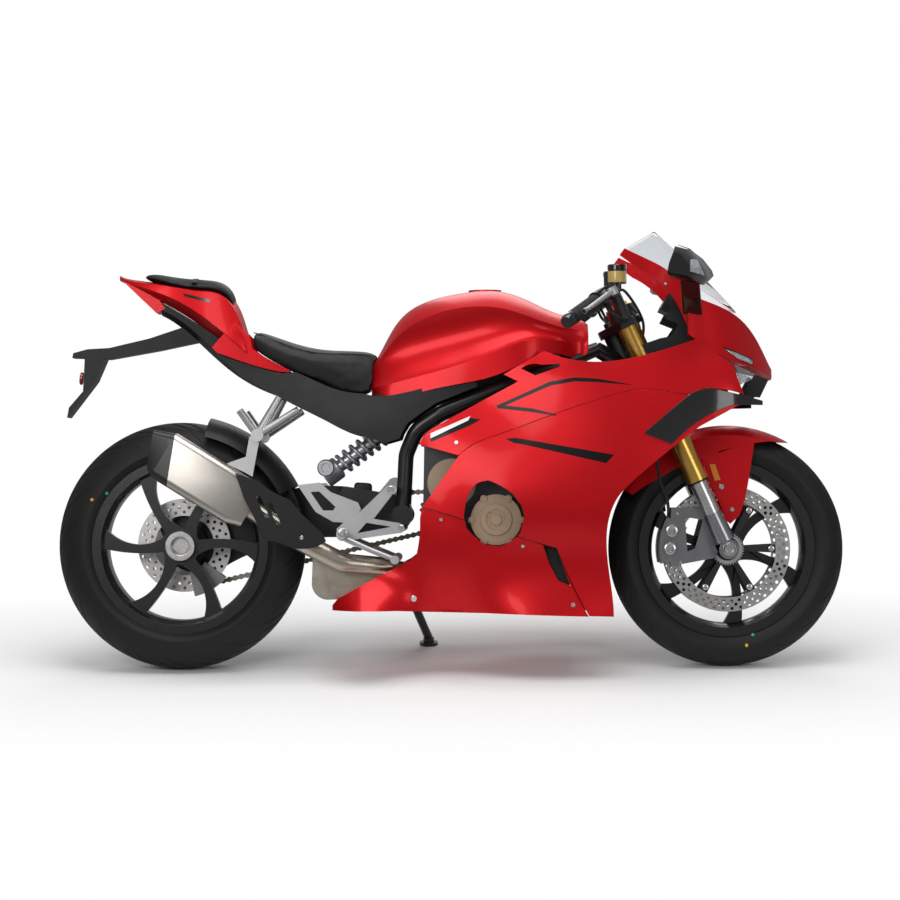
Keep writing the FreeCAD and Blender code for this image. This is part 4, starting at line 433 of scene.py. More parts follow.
def fork_paint():
    """Fork leg by distance along it: cast foot, steel tube, dark seal, gold tube."""
    paint = Paint("fork_leg", (0.66, 0.40, 0.10), metallic=0.95)
    place = paint.along(fork_way, steering_foot)
    cloud = paint.noise(30.0, 3.0)
    color = paint.mix(cloud, (0.30, 0.30, 0.32), (0.38, 0.38, 0.40))
    tube_start, seal_start, gold_start = 100.0, 184.0, 189.0
    for start, dark, light in ((tube_start, (0.52, 0.52, 0.53), (0.66, 0.66, 0.67)),
                               (seal_start, (0.05, 0.04, 0.03), (0.06, 0.05, 0.04)),
                               (gold_start, (0.62, 0.36, 0.07), (0.74, 0.46, 0.12))):
        color = paint.mix(place > start, color, paint.mix(cloud, dark, light))
    paint.feed("Base Color", color)
    paint.feed("Roughness", cloud * 0.08 + 0.20)
    paint.bump(paint.noise(500.0), 0.04, 0.0002)
    return paint


fork_gold = fork_paint()


def disc_steel(name, hub, band_start, hole_rows):
    """Brushed disc steel: fine rings about the axle, a black carrier inside the band, drilled holes.

    A hole shows where the distance from the nearest hole centre is under its radius; the paint is
    clear there. Each row is (radius, holes, turn) and the turn staggers it.
    """
    hole_radius = 4.2
    paint = Paint(name, (0.55, 0.54, 0.53), metallic=1.0)
    middle = (hub[0], 0, hub[1])
    x, z = paint.along((1, 0, 0), middle), paint.along((0, 0, 1), middle)
    radius = (x * x + z * z) ** 0.5
    turn = paint.node("ShaderNodeMath", {"operation": "ARCTAN2"}, {0: z, 1: x})
    rings = paint.node("ShaderNodeTexNoise", {"noise_dimensions": "1D"}, {"W": radius, "Scale": 1.3,
                                                                        "Detail": 4.0})
    steel = paint.mix(rings, (0.40, 0.39, 0.38), (0.70, 0.69, 0.68))
    on_band = radius > band_start
    solid = None
    for row_radius, holes, start in hole_rows:
        share = turn * (holes / (2 * math.pi)) + start
        around = paint.node("ShaderNodeMath", {"operation": "PINGPONG"}, {0: share, 1: 0.5})
        across = around * (2 * math.pi * row_radius / holes)
        out = radius - row_radius
        closed = (across * across + out * out) ** 0.5 > hole_radius
        solid = closed if solid is None else solid * closed
    paint.feed("Alpha", solid)
    paint.tint(on_band, (0.016, 0.016, 0.017), steel)
    paint.feed("Metallic", on_band)
    paint.feed("Roughness", rings * 0.16 + 0.24)
    paint.bump(rings, 0.15, 0.0002)
    return paint


front_disc_steel = disc_steel("front_disc_steel", front_hub, 123.0,
                              [(133.0, 42, 0.0), (142.5, 42, 0.5), (152.0, 42, 0.0)])
rear_disc_steel = disc_steel("rear_disc_steel", rear_hub, 75.0,
                             [(86.0, 24, 0.0), (98.0, 24, 0.5), (110.0, 24, 0.0)])


def brushed(name, color, way, **fixed):
    """Metal brushed along one direction: a noise stretched along it."""
    paint = Paint(name, color, metallic=1.0, **fixed)
    stretch = tuple(1.0 - 0.96 * abs(share) for share in way)
    noise = paint.noise(700.0, 3.0, 0.6, stretch)
    cloud = paint.noise(9.0, 3.0)
    dark, light = (tuple(c * k for c in color) for k in (0.82, 1.12))
    paint.tint(noise * 0.6 + cloud * 0.4, dark, light)
    paint.feed("Roughness", noise * 0.20 + 0.24)
    paint.bump(noise, 0.10, 0.0002)
    return paint


silencer_steel = brushed("silencer_steel", (0.50, 0.47, 0.43), (0.84, 0.0, 0.54))
cap_way, cap_edge = (0.985, 0.0, -0.17), (0.0, 0.0, 601.0)
cap_side = silencer_steel.along(cap_way, cap_edge) < 0.0
silencer_steel.cover(cap_side, (0.014, 0.014, 0.015))
silencer_steel.feed("Metallic", 1.0 - cap_side)
pipe_steel = Paint("pipe_steel", (0.5, 0.45, 0.38), metallic=1.0)
heat_from, heat_to = 300.0, 720.0
heat = pipe_steel.ramp(pipe_steel.along((1, 0, 0)), heat_from, heat_to)
heated = pipe_steel.mix(heat, (0.50, 0.45, 0.38), (0.33, 0.22, 0.13))
pipe_steel.tint(pipe_steel.noise(30.0, 4.0) * 0.4, heated, (0.62, 0.58, 0.52))
pipe_steel.feed("Roughness", pipe_steel.noise(50.0, 3.0) * 0.2 + 0.2)
pipe_steel.bump(pipe_steel.noise(300.0, 2.0), 0.04, 0.0001)

screen_clear = Paint("screen_clear", (0.80, 0.82, 0.84), roughness=0.02, transmission_weight=1.0,
                     ior=1.12)
screen_clear.tint(screen_clear.noise(4.0), (0.74, 0.76, 0.79), (0.84, 0.86, 0.88))
lamp_lens = Paint("lamp_lens", (0.75, 0.78, 0.82), roughness=0.04, transmission_weight=0.75, ior=1.3,
                  coat_weight=0.5)
lamp_lens.bump(lamp_lens.along((0, 1, 0)).wave(), 0.1, 0.0003)
lamp_red = Paint("lamp_red", (0.42, 0.01, 0.012), roughness=0.12, transmission_weight=0.3, ior=1.4,
                 coat_weight=0.6)
lamp_red.bump((lamp_red.along((0, 1, 0)) * 1.4).wave(), 0.25, 0.0006)
lamp_amber = Paint("lamp_amber", (0.75, 0.22, 0.02), roughness=0.12, coat_weight=0.7)
lamp_amber.bump((lamp_amber.along((0, 0, 1)) * 1.6).wave(), 0.3, 0.0006)
mirror_glass = Paint("mirror_glass", (0.86, 0.88, 0.90), metallic=1.0, roughness=0.02)
mirror_glass.feed("Roughness", mirror_glass.noise(30.0) * 0.02 + 0.01)
display_glass = Paint("display_glass", (0.012, 0.014, 0.018), roughness=0.08, coat_weight=0.6)
display_glass.tint(display_glass.noise(20.0), (0.008, 0.009, 0.011), (0.02, 0.023, 0.03))


# Carried-over pieces

body_of = {node: body for body, members in frame["record"]["behaviour"]["bodies"].items()
           for node in members}


def node_copy(node, paint):
    """Copy of a frame node's mesh with a paint of its own."""
    mesh = frame["nodes"][node].data.copy()
    mesh.materials.clear()
    mesh.materials.append(paint.material)
    return mesh


def dressed(node, paint):
    """Smooth-shaded copy of a frame node with softened edges; it stands for that node."""
    bevel, bevel_angle, flat_angle = 0.8 * MM, math.radians(35), math.radians(0.4)
    mesh = node_copy(node, paint)
    work = bmesh.new()
    work.from_mesh(mesh)
    bmesh.ops.remove_doubles(work, verts=work.verts, dist=SAME_PLACE)
    bmesh.ops.dissolve_limit(work, angle_limit=flat_angle, verts=work.verts, edges=work.edges)
    work.to_mesh(mesh)
    work.free()
    merged(mesh, sharp_degrees=30.0, recalculate=False)
    thing = linked(node + "_skin", mesh)
    soften = thing.modifiers.new("soften", "BEVEL")
    soften.width, soften.segments = bevel, 2
    soften.limit_method, soften.angle_limit = "ANGLE", bevel_angle
    soften.harden_normals = True
    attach(thing, body_of[node])
    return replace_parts(thing, node)


finishes = {node: paint for paint, nodes in (
    (frame_black, "steering_head frame_spar_right frame_spar_left swingarm fork_clamps handlebar_right"
                  " handlebar_left side_stand"),
    (satin_black, "heat_shield undertail side_cover_right side_cover_left cockpit rear_hugger"
                  " plate_hanger"),
    (red, "fuel_tank tail_cowl belly_fairing_right belly_fairing_left front_fender"),
    (red_striped, "upper_fairing_right upper_fairing_left side_fairing_right side_fairing_left"),
    (nose_red, "nose_cowl"), (gloss_black, "mirrors winglets"), (seat_vinyl, "rider_seat pillion_seat"),
    (lamp_lens, "headlamps"), (screen_clear, "windscreen"), (engine_cast, "engine_block"),
    (bronze, "clutch_cover"), (radiator_black, "radiator"), (pipe_steel, "exhaust_pipe"),
    (silencer_steel, "silencer"), (spring_grey, "rear_shock"), (chain_steel, "drive_chain"),
    (alloy, "rearset_right rearset_left pillion_pegs"), (caliper_alloy, "rear_caliper front_calipers"),
    (fork_gold, "fork_legs"), (grip_rubber, "brake_hoses"), (bolt_steel, "front_axle rear_drive"),
    (wheel_black, "front_rim rear_rim"), (tyre_rubber, "front_tyre rear_tyre"),
    (front_disc_steel, "front_discs"), (rear_disc_steel, "rear_disc")) for node in nodes.split()}
kept_apart = "front_tyre rear_tyre rear_shock windscreen headlamps rider_seat pillion_seat".split()
for node in body_of:
    for material_slot in frame["nodes"][node].material_slots:
        material_slot.material = finishes[node].material
    if node not in kept_apart:
        dressed(node, finishes[node])


# Places on the CAD surfaces

surfaces = {}


def meet(nodes, start, way):
    """Where a line from start along way first meets the nodes: the place, and the face's way back."""
    row_way = Vector(way[0] * ahead + way[1] * left + way[2] * up)
    best = None
    for node in nodes:
        if node not in surfaces:
            work = bmesh.new()
            work.from_mesh(frame["nodes"][node].data)
            surfaces[node] = BVHTree.FromBMesh(work)
            work.free()
        spot, normal, _, distance = surfaces[node].ray_cast(Vector(bike(*start)), row_way)
        if spot is not None and (best is None or distance < best[0]):
            best = (distance, np.array(spot) - floor_origin, np.array(normal))
    if best is None:
        return None
    place, normal = (np.array([row @ ahead, row @ left, row @ up]) for row in best[1:])
    return place / MM, normal * math.copysign(1.0, -(normal @ floats(way)))


def touch(nodes, x, z, side=-1):
    """Where a line from the right, or from the left for side 1, meets the nodes at (x, z)."""
    return meet(nodes, (x, side * 700.0, z), (0.0, -side, 0.0))


def bolt(radius, height):
    """Profile of a socket-head bolt: a low dome with a sunk middle."""
    return [(radius, -2.0), (radius, height * 0.6), (radius * 0.85, height), (radius * 0.5, height),
            (radius * 0.42, height * 0.3)]


def on_side(nodes, side):
    """The nodes, or for side 1 their twins on the left."""
    return [node.replace("right", "left") if side > 0 else node for node in nodes]


def bolts(name, nodes, spots, height=3.0):
    """Bolt heads at (x, z, radius) on both sides, wherever a line from the side meets the nodes."""
    made = []
    for side in (-1, 1):
        for x, z, radius in spots:
            hit = touch(on_side(nodes, side), x, z, side)
            if hit is not None:
                made.append(turned_along(bolt(radius, height), *hit))
    return piece(name, joined(made), bolt_steel, body_of[nodes[0]])


def rounded_box(middle, half, turn=0.0):
    """Box with soft edges about a middle, turned in the side view by an angle in degrees.

    Its corners follow |a|^n + |b|^n + |c|^n = 1 with n = 6, written out over two angles.
    """
    def signed(value):
        return np.sign(value) * np.abs(value) ** (1 / 3)

    rows, columns = 17, 32
    across, round_it = np.meshgrid(np.linspace(-math.pi / 2, math.pi / 2, rows),
                                   full_turn(columns), indexing="ij")
    a = signed(np.cos(across)) * signed(np.cos(round_it)) * half[0]
    b = signed(np.cos(across)) * signed(np.sin(round_it)) * half[1]
    c = signed(np.sin(across)) * half[2]
    angle = math.radians(turn)
    grid = np.stack([middle[0] + a * math.cos(angle) - c * math.sin(angle), middle[1] + b,
                     middle[2] + a * math.sin(angle) + c * math.cos(angle)], axis=-1)
    return grid.reshape(-1, 3), quads(rows, columns, wrap_columns=True)


# Tyres: round shoulders, flat sides with two fine rings, and slanted grooves in the tread

def tyre(name, node, hub, radius, width, crown, rim_width):
    """Tyre as a surface of two parameters: the turn about the axle and the place across.

    Across: y = crown * sin(t), r = radius - crown * (1 - cos(t)) on the tread. On each side s runs
    from 0 at the tread's edge to 1 at the bead, r falls evenly and y = half + (bead_half - half)
    * s^1.6, less two fine rings. Grooves: the phase is repeats * turns + 1.5 * share^1.5, share being
    |y| / half, and half more on the left. They are up to groove_depth deep within 0.06 of where the
    phase is n + 0.5, and nearer the middle within 0.055 of where it is n + 0.05.
    """
    rim_wall = 5.6
    half, bead, bead_half = width / 2, 220.0, rim_width / 2 - rim_wall
    reach = math.asin(half / crown)
    repeats, groove_depth = 20, 3.5
    steps, tread_steps, side_steps = 720, 61, 12
    t = np.linspace(-reach, reach, tread_steps)
    tread_y, tread_r = crown * np.sin(t), radius - crown * (1 - np.cos(t))
    s = np.linspace(0, 1, side_steps + 1)[1:]
    edge_r = tread_r[-1]
    ribs = 0.7 * (np.exp(-((s - 0.30) / 0.05) ** 2) + np.exp(-((s - 0.85) / 0.06) ** 2))
    wall_r = edge_r + (bead - edge_r) * s
    wall_y = half + (bead_half - half) * s ** 1.6 - ribs * 0.5
    y = np.concatenate([-wall_y[::-1], tread_y, wall_y])
    r = np.concatenate([wall_r[::-1], tread_r, wall_r])
    turn = full_turn(steps)[:, None]
    share = np.abs(y / half)[None, :]
    phase = turn * repeats / (2 * math.pi) + 0.5 * (y > 0) + 1.5 * share ** 1.5
    line = np.abs((phase % 1.0) - 0.5)
    inner_line = np.abs(((phase + 0.45) % 1.0) - 0.5)
    groove = np.clip((0.060 - line) / 0.03, 0, 1) * ((share > 0.30) & (share < 0.86))
    inner_groove = np.clip((0.055 - inner_line) / 0.03, 0, 1) * ((share > 0.08) & (share < 0.55))
    groove = np.maximum(groove, inner_groove)
    tread = np.concatenate([np.zeros(side_steps), np.ones(tread_steps), np.zeros(side_steps)])[None, :]
    radial = r[None, :] - groove_depth * groove * tread
    part = about_hub(hub, radial, turn, y), quads(steps, len(y), True, True)
    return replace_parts(piece(name, part, tyre_rubber, body_of[node], 50.0), node)


tyre("front_tyre_treaded", "front_tyre", front_hub, radius=300.0, width=120.0, crown=62.0,
     rim_width=100.0)
tyre("rear_tyre_treaded", "rear_tyre", rear_hub, radius=315.0, width=180.0, crown=92.0, rim_width=154.0)

# Painted dots on the tyres' right sides: flat discs
dot_yellow = grained("dot_yellow", (0.70, 0.42, 0.02), rough=0.6)
dot_green = grained("dot_green", (0.02, 0.42, 0.20), rough=0.6)
dot_profile = [(4.0, -1.0), (4.0, 4.4)]
for name, node, x, z, paint in (("rear_dot_yellow", "rear_tyre", -220, 435, dot_yellow),
                                ("rear_dot_green", "rear_tyre", -186, 453, dot_green),
                                ("front_dot_green", "front_tyre", 1455, 80, dot_green),
                                ("front_dot_yellow", "front_tyre", 1438, 54, dot_yellow)):
    piece(name, turned_along(dot_profile, *touch([node], x, z)), paint, body_of[node])

# Bolts and small round parts

bolts("fairing_bolts", ["upper_fairing_right", "side_fairing_right", "belly_fairing_right"],
      [(664, 381, 5), (868, 314, 5), (594, 183, 8), (993, 166, 6), (704, 573, 5)])
bolts("nose_bolts", ["nose_cowl"], [(1128, 1033, 4), (1231, 969, 4), (1209, 954, 4)], 2.0)
bolts("fender_bolts", ["front_fender"], [(1375, 459, 7), (1402, 401, 6)], 2.5)
bolts("tank_bolts", ["fuel_tank"], [(985, 895, 4), (1020, 905, 4)], 2.0)
bolts("rearset_bolts", ["rearset_right"], [(538, 457, 9), (565, 359, 9), (419, 350, 11)], 2.5)
clutch_x, clutch_z = 802.0, 380.0
cover_rings = ((6, 61.5, 4), (3, 24.0, 3))
bolts("cover_bolts", ["clutch_cover"],
      [(clutch_x + ring * math.cos(a), clutch_z + ring * math.sin(a), radius)
       for count, ring, radius in cover_rings for a in full_turn(count)], 2.0)
bolts("caliper_caps", ["front_calipers"], [(1248, 348, 15), (1243, 303, 15)])
bolts("caliper_bolts", ["front_calipers"], [(1262, 392, 5), (1270, 268, 5)], 2.5)
bolts("shield_bolts", ["heat_shield"], [(315, 338, 5)], 1.5)


def axle_nut(name, hub, radius, nodes, beside, sunk, body):
    """Nut on the axle's right end: a stepped ring with a sunk middle.

    It starts a little inside the surface that the nodes have beside the axle's middle.
    """
    rings = [(radius, 0.0), (radius, 3.0), (radius * 0.86, 6.0), (radius * 0.62, 6.0), (radius * 0.55, 1.0)]
    face_y = touch(nodes, hub[0] + beside, hub[1])[0][1] + sunk
    return piece(name, turned_along(rings, (hub[0], face_y, hub[1]), TO_RIGHT, 36), bolt_steel, body)


axle_nut("rear_nut", rear_hub, 36.0, ["rear_rim", "rear_drive"], beside=45.0, sunk=4.0,
         body="rear_wheel")
axle_nut("front_nut", front_hub, 15.0, ["front_axle", "fork_legs"], beside=10.0, sunk=0.4, body="fork")

# Front brake discs: bright pins that join each band to its carrier, and the slotted speed ring
pin_profile = [(7.5, -5.0), (7.5, 4.5), (5.5, 5.5), (3.0, 5.5), (3.0, 3.0)]
pin_circle, pin_place = 112.0, -64.0
piece("front_bobbins", both(joined([
    turned_along(pin_profile, about_hub(front_hub, pin_circle, a, pin_place), TO_RIGHT)
    for a in full_turn(6)])), bolt_steel, "front_wheel")


def slotted_ring(hub, y, inner, outer, wall, teeth, notch):
    """Thin ring with square notches on its outer edge."""
    turn = full_turn(teeth * 4)
    edge = np.where(np.arange(teeth * 4) % 4 < 2, outer, outer - notch)
    rings = [(inner, y), (inner, y + wall), (edge, y + wall), (edge, y)]
    grid = [about_hub(hub, radius, turn, place) for radius, place in rings]
    return grid, quads(4, teeth * 4, True, True)


piece("speed_ring", slotted_ring(front_hub, -71.0, inner=30.0, outer=42.0, wall=2.0, teeth=36, notch=5.0),
      alloy, "front_wheel")

# Suspension spring: a round wire that climbs along the damper, over its body and adjuster

spring_low, spring_high = np.array([364.0, 0.0, 489.0]), np.array([517.0, 0.0, 600.0])


def helix(start, end, radius, turns, steps):
    """Points of a helix about the line from start to end."""
    place = np.linspace(0, 1, steps)[:, None]
    way = unit(end - start)
    first = unit(np.cross(way, [0.0, 1.0, 0.0]))
    second = np.cross(way, first)
    turn = 2 * math.pi * turns * place
    return start + (end - start) * place + radius * (np.cos(turn) * first + np.sin(turn) * second)


wire_start = spring_low + (spring_high - spring_low) * 0.30
wire = sweep(helix(wire_start, spring_high, radius=24.5, turns=6.0, steps=300), 5.2, 12)
piece("shock_spring", wire, spring_grey, "frame")
damper = turned_along([(30.0, 0.0), (30.0, 44.0), (26.0, 48.0), (16.0, 50.0), (16.0, 189.0)],
                      spring_low, spring_high - spring_low, 36)
adjuster = turned_along([(22.0, -2.0), (22.0, 50.0), (19.0, 54.0), (12.0, 54.0), (11.0, 50.0)],
                        (370.0, 0.0, 513.0), TO_RIGHT, 36)
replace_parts(piece("shock_body", joined([damper, adjuster]), spring_grey, "frame"), "rear_shock")


# Patches and panels that lie on the CAD surfaces

def patch(name, nodes, corners, paint, lift, behind=None):
    """Thin skins on both sides inside four corners: a grid between them, met and set off outwards.

    Corners are (x, z), met from the side. With behind they are (y, z), met from that x forwards.
    A line that slips through a panel gap is tried again a little higher and lower.
    """
    a, b, c, d = (floats(corner) for corner in corners)
    shares = np.linspace(0, 1, 9)
    made = []
    for side in (-1, 1):
        near = on_side(nodes, side)
        grid = []
        for s in shares:
            for t in shares:
                along, z = (a * (1 - s) + b * s) * (1 - t) + (d * (1 - s) + c * s) * t
                tries = (touch(near, along, z + shift, side) if behind is None else
                         meet(near, (behind, side * along, z + shift), (1.0, 0.0, 0.0))
                         for shift in (0.0, -1.0, 1.0, -3.0, 3.0))
                place, way = next(hit for hit in tries if hit is not None)
                grid.append(place + way * lift)
        made.append((np.array(grid), quads(len(shares), len(shares))))
    thing = piece(name, joined(made), paint, body_of[nodes[0]], 60.0)
    wall = thing.modifiers.new("wall", "SOLIDIFY")
    wall.thickness, wall.offset = lift * 1.6 * MM, 0.0
    return thing


def above(nodes, x, y):
    """Height of the nodes' top at a place of the upright bike, or nan beside them."""
    hit = meet(nodes, (x, y, 1500.0), (0.0, 0.0, -1.0))
    return np.nan if hit is None else hit[0][2]


patch("lamp_reflectors", ["nose_cowl", "headlamps"],
      [(1380, 803), (1445, 779), (1450, 768), (1418, 779)], lamp_lens, 1.2)
patch("mirror_insert", ["mirrors"], [(1279, 1014), (1296, 1015), (1313, 975), (1277, 984)], lamp_lens, 1.0)
patch("amber_reflector", ["front_fender"],
      [(1345, 516), (1359, 516), (1373, 476), (1358, 474)], lamp_amber, 2.0)
patch("tail_slit", ["tail_cowl"], [(14, 957), (84, 940), (80, 933), (16, 950)], gloss_black, 0.5)
patch("display", ["cockpit"],
      [(-56, 918), (56, 918), (56, 966), (-56, 966)], display_glass, 0.6, behind=1100.0)
patch("mirror_glasses", ["mirrors"],
      [(262, 1028), (366, 1034), (366, 984), (262, 986)], mirror_glass, 0.6, behind=1000.0)

# Stays between the nose and the winglets, the glass behind them, the liners inside the nose and
# under the tank, and dark backs that make the vents look into the shade behind the radiator
for name, outline, inner, outer, paint in (
        ("nose_stays", [(1458, 742), (1494, 729), (1472, 684), (1432, 688), (1438, 703)], 92.0, 104.0,
         satin_black),
        ("lower_lamps", [(1408, 768), (1464, 741), (1442, 724), (1424, 719)], 84.0, 100.0, lamp_lens),
        ("nose_liners", [(1248, 931), (1264, 927), (1295, 888), (1315, 847), (1311, 827), (1264, 811),
                         (1218, 796), (1168, 789), (1168, 817), (1218, 834), (1245, 839), (1266, 870),
                         (1232, 884), (1248, 915)], 128.0, 131.0, satin_black),
        ("tank_liners", [(735, 716), (742, 744), (850, 766), (852, 738), (764, 713)], 84.0, 88.0,
         satin_black),
        ("vent_backs", [(905, 330), (965, 330), (1010, 215), (950, 215)], 170.0, 171.5, satin_black)):
    piece(name, both(plate(outline, inner, outer)), paint, "frame")

# Handlebars: ribbed grips and bar ends, levers on their perches, and the switches' buttons

leg_place, leg_radius, bar_radius = 105.0, 28.5, 11.0
clip_place, bar_lift, bar_reach, grip_length = 637.5, 82.0, 82.0, 122.0
bar_sweep, bar_drop = math.radians(35.0), math.radians(23.5)
bar_root = (np.array([wheelbase, leg_place + leg_radius + bar_radius, front_height])
            + fork_way * (clip_place + bar_lift))
bar_way = np.array([-math.sin(bar_sweep) * math.cos(bar_drop), math.cos(bar_sweep) * math.cos(bar_drop),
                    -math.sin(bar_drop)])
grip_start = bar_root + bar_way * bar_reach
rib_count, rib_pitch = 16, 7.0
ridge = [(16.8, 4.0)]
for start in np.arange(rib_count) * rib_pitch:
    ridge += [(17.0, start + 4.0), (18.2, start + 5.0), (18.2, start + 8.5), (17.0, start + 9.5)]
piece("grips", both(turned_along(ridge, grip_start, bar_way, 32)), grip_rubber, "fork")
end_profile = [(15.5, 0.0), (17.5, 2.0), (17.5, 21.0), (14.0, 27.5), (6.0, 27.8)]
piece("bar_ends", both(turned_along(end_profile, grip_start + bar_way * grip_length, bar_way, 32)),
      gloss_black, "fork")

bar_forward = unit(np.cross(bar_way, fork_way))
box_back, pivot_ahead, tip_along, tip_ahead = 27.0, 38.0, 107.0, 34.0
box_middle = grip_start - bar_way * box_back
pivot = box_middle + bar_forward * pivot_ahead
tip = grip_start + bar_way * tip_along + bar_forward * tip_ahead
lever_steps = 40
lever_path = smooth_path([pivot, pivot * 0.7 + tip * 0.3 + bar_forward * 6.0,
                          pivot * 0.3 + tip * 0.7 + bar_forward * 5.0, tip], lever_steps)
lever_radius = np.interp(np.linspace(0, 1, lever_steps), [0, 0.2, 0.9, 1.0], [8.0, 7.6, 5.6, 7.6])
piece("levers", both(sweep(lever_path, lever_radius, 16)), alloy, "fork")
pivot_profile = [(9.0, 0.0), (14.0, 2.0), (14.0, 22.0), (9.0, 24.0)]
arm_profile = [(10.5, 0.0), (13.0, 1.0), (13.0, 30.0), (10.5, 31.0)]
piece("lever_perches", both(joined([
    turned_along(pivot_profile, pivot - fork_way * 12.0, fork_way, 28),
    turned_along(arm_profile, box_middle, bar_forward, 28)])), alloy, "fork")
button_profile = [(5.0, 0.0), (5.0, 4.0), (4.0, 5.0)]
piece("switch_buttons", both(joined([
    turned_along(button_profile, box_middle - bar_forward * 17.5 + bar_way * offset + fork_way * rise,
                 -bar_forward, 16)
    for offset, rise in ((-12.0, 8.0), (0.0, -4.0), (12.0, 8.0))])), seat_vinyl, "fork")

# Window of the right bar's fluid cup, and the caps of the cups on both sides
cup_foot = bar_root + np.array([14.0, -16.0, 14.0])
window_profile = [(23.4, 3.0), (23.6, 4.0), (23.6, 30.0), (23.4, 31.0)]
cap_profile = [(23.5, 34.0), (24.4, 35.0), (24.4, 46.0), (22.0, 48.4), (8.0, 48.4)]
fluid = grained("brake_fluid", (0.50, 0.36, 0.10), rough=0.25, coat_weight=0.5)
piece("reservoir_window", mirror_y(turned_along(window_profile, cup_foot, UPWARD, 36)), fluid, "fork")
piece("reservoir_caps", both(turned_along(cap_profile, cup_foot, UPWARD, 36)), gloss_black, "fork")

# Cables from the switches and levers to the steering head

head = steering_foot + fork_way * 560.0
cable_runs = [
    [box_middle - fork_way * 14, box_middle - fork_way * 50 + bar_forward * 10,
     head + np.array([30.0, 95.0, 60.0]), head + np.array([20.0, 60.0, 0.0])],
    [box_middle - fork_way * 10 - bar_way * 12, box_middle - fork_way * 64 - bar_way * 20,
     head + np.array([8.0, 84.0, 40.0]), head + np.array([0.0, 52.0, -20.0])],
    [pivot - fork_way * 8 - bar_way * 6, pivot - bar_way * 50 - fork_way * 20,
     head + np.array([44.0, 96.0, 80.0]), head + np.array([40.0, 66.0, 10.0])]]
cable_radius = 3.6
cables = joined([sweep(smooth_path(run, 40), cable_radius, 10) for run in cable_runs])
piece("handlebar_cables", both(cables), grip_rubber, "fork")

# Black box between the shock and the frame tube, and the reflector at the end of the plate carrier
relay = rounded_box(middle=(464.0, -60.0, 447.0), half=(23.0, 24.0, 28.0), turn=-4.0)
piece("relay_box", relay, satin_black, "frame")
reflector = turned_along([(14.0, 0.0), (16.0, 1.0), (16.0, 6.0), (13.0, 8.0)], (-250.0, -20.0, 745.0),
                         (-1, 0, 0.1), 28)
piece("plate_reflector", reflector, lamp_red, "frame")


# Seats: their covers are blown up a little by a cloth simulation with air pressure

def vertex_rows(mesh, attribute):
    """An attribute of the mesh's vertices, one row of three for each."""
    flat = np.empty(len(mesh.vertices) * 3)
    mesh.vertices.foreach_get(attribute, flat)
    return flat.reshape(-1, 3)


def settle(thing):
    """Applies an object's modifiers to its mesh."""
    graph = bpy.context.evaluated_depsgraph_get()
    graph.update()
    mesh = bpy.data.meshes.new_from_object(thing.evaluated_get(graph))
    thing.modifiers.clear()
    old, thing.data = thing.data, mesh
    bpy.data.meshes.remove(old)


def padded_seat(node, cap, voxel=0.0055, shrink=0.0025, frames=20):
    """Cover of a pad: a slightly smaller closed copy of its CAD solid, blown up by at most the cap."""
    mesh = node_copy(node, seat_vinyl)
    work = bmesh.new()
    work.from_mesh(mesh)
    bmesh.ops.remove_doubles(work, verts=work.verts, dist=SAME_PLACE)
    bmesh.ops.recalc_face_normals(work, faces=work.faces)
    work.to_mesh(mesh)
    work.free()
    thing = linked(node + "_cover", mesh)
    grid = thing.modifiers.new("grid", "REMESH")
    grid.mode, grid.voxel_size = "VOXEL", voxel
    smooth = thing.modifiers.new("smooth", "SMOOTH")
    smooth.factor, smooth.iterations = 0.5, 6
    settle(thing)
    inner = vertex_rows(thing.data, "co") - vertex_rows(thing.data, "normal") * shrink
    thing.data.vertices.foreach_set("co", inner.ravel())
    cloth = thing.modifiers.new("air", "CLOTH")
    cloth.settings.use_pressure = True
    cloth.settings.uniform_pressure_force = 4.0
    cloth.settings.effector_weights.gravity = 0.0
    cloth.point_cache.frame_start, cloth.point_cache.frame_end = 1, frames
    for number in range(frames):
        bpy.context.scene.frame_set(number + 1)
    settle(thing)
    move = vertex_rows(thing.data, "co") - inner
    length = np.linalg.norm(move, axis=1, keepdims=True)
    inner = inner + move * np.minimum(1.0, cap / np.maximum(length, 1e-9))
    bpy.context.scene.frame_set(1)
    thing.data.vertices.foreach_set("co", inner.ravel())
    thing.data.polygons.foreach_set("use_smooth", np.ones(len(thing.data.polygons), dtype=bool))
    thing.data.update()
    relax = thing.modifiers.new("relax", "SMOOTH")
    relax.factor, relax.iterations = 0.5, 8
    fine = thing.modifiers.new("fine", "SUBSURF")
    fine.levels = fine.render_levels = 1
    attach(thing, body_of[node])
    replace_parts(thing, node)
    return thing


padded_seat("rider_seat", cap=0.004)
padded_seat("pillion_seat", cap=0.0035)

# Sewn seams: a fine cord on each side of the rider's seat, half sunk in its top
seam_run = smooth_path([(190, 74, 0), (260, 92, 0), (350, 90, 0), (430, 66, 0), (500, 46, 0)], 60)
seam_run[:, 2] = [above(["rider_seat"], x, y) + 0.2 for x, y, _ in seam_run]
piece("rider_seat_seams", both(sweep(seam_run, 1.3, 8)), grip_rubber, "frame")

# Strap over the passenger's seat: a flat band whose height follows the pad
strap_middle, strap_half = 40.0, 74.0
strap_y = np.linspace(-strap_half, strap_half, 41)
strap_x = strap_middle + np.array([-7.0, -6.0, 6.0, 7.0])
strap_lift = np.array([0.3, 2.6, 2.6, 0.3])
heights = np.array([above(["pillion_seat", "tail_cowl"], strap_middle, y) for y in strap_y])
known = ~np.isnan(heights)
strap_top = np.interp(strap_y, strap_y[known], heights[known])
strap = np.broadcast_arrays(strap_x, strap_y[:, None], strap_top[:, None] + strap_lift)
piece("seat_strap", closed_grid(np.stack(strap, axis=-1)), grip_rubber, "frame")


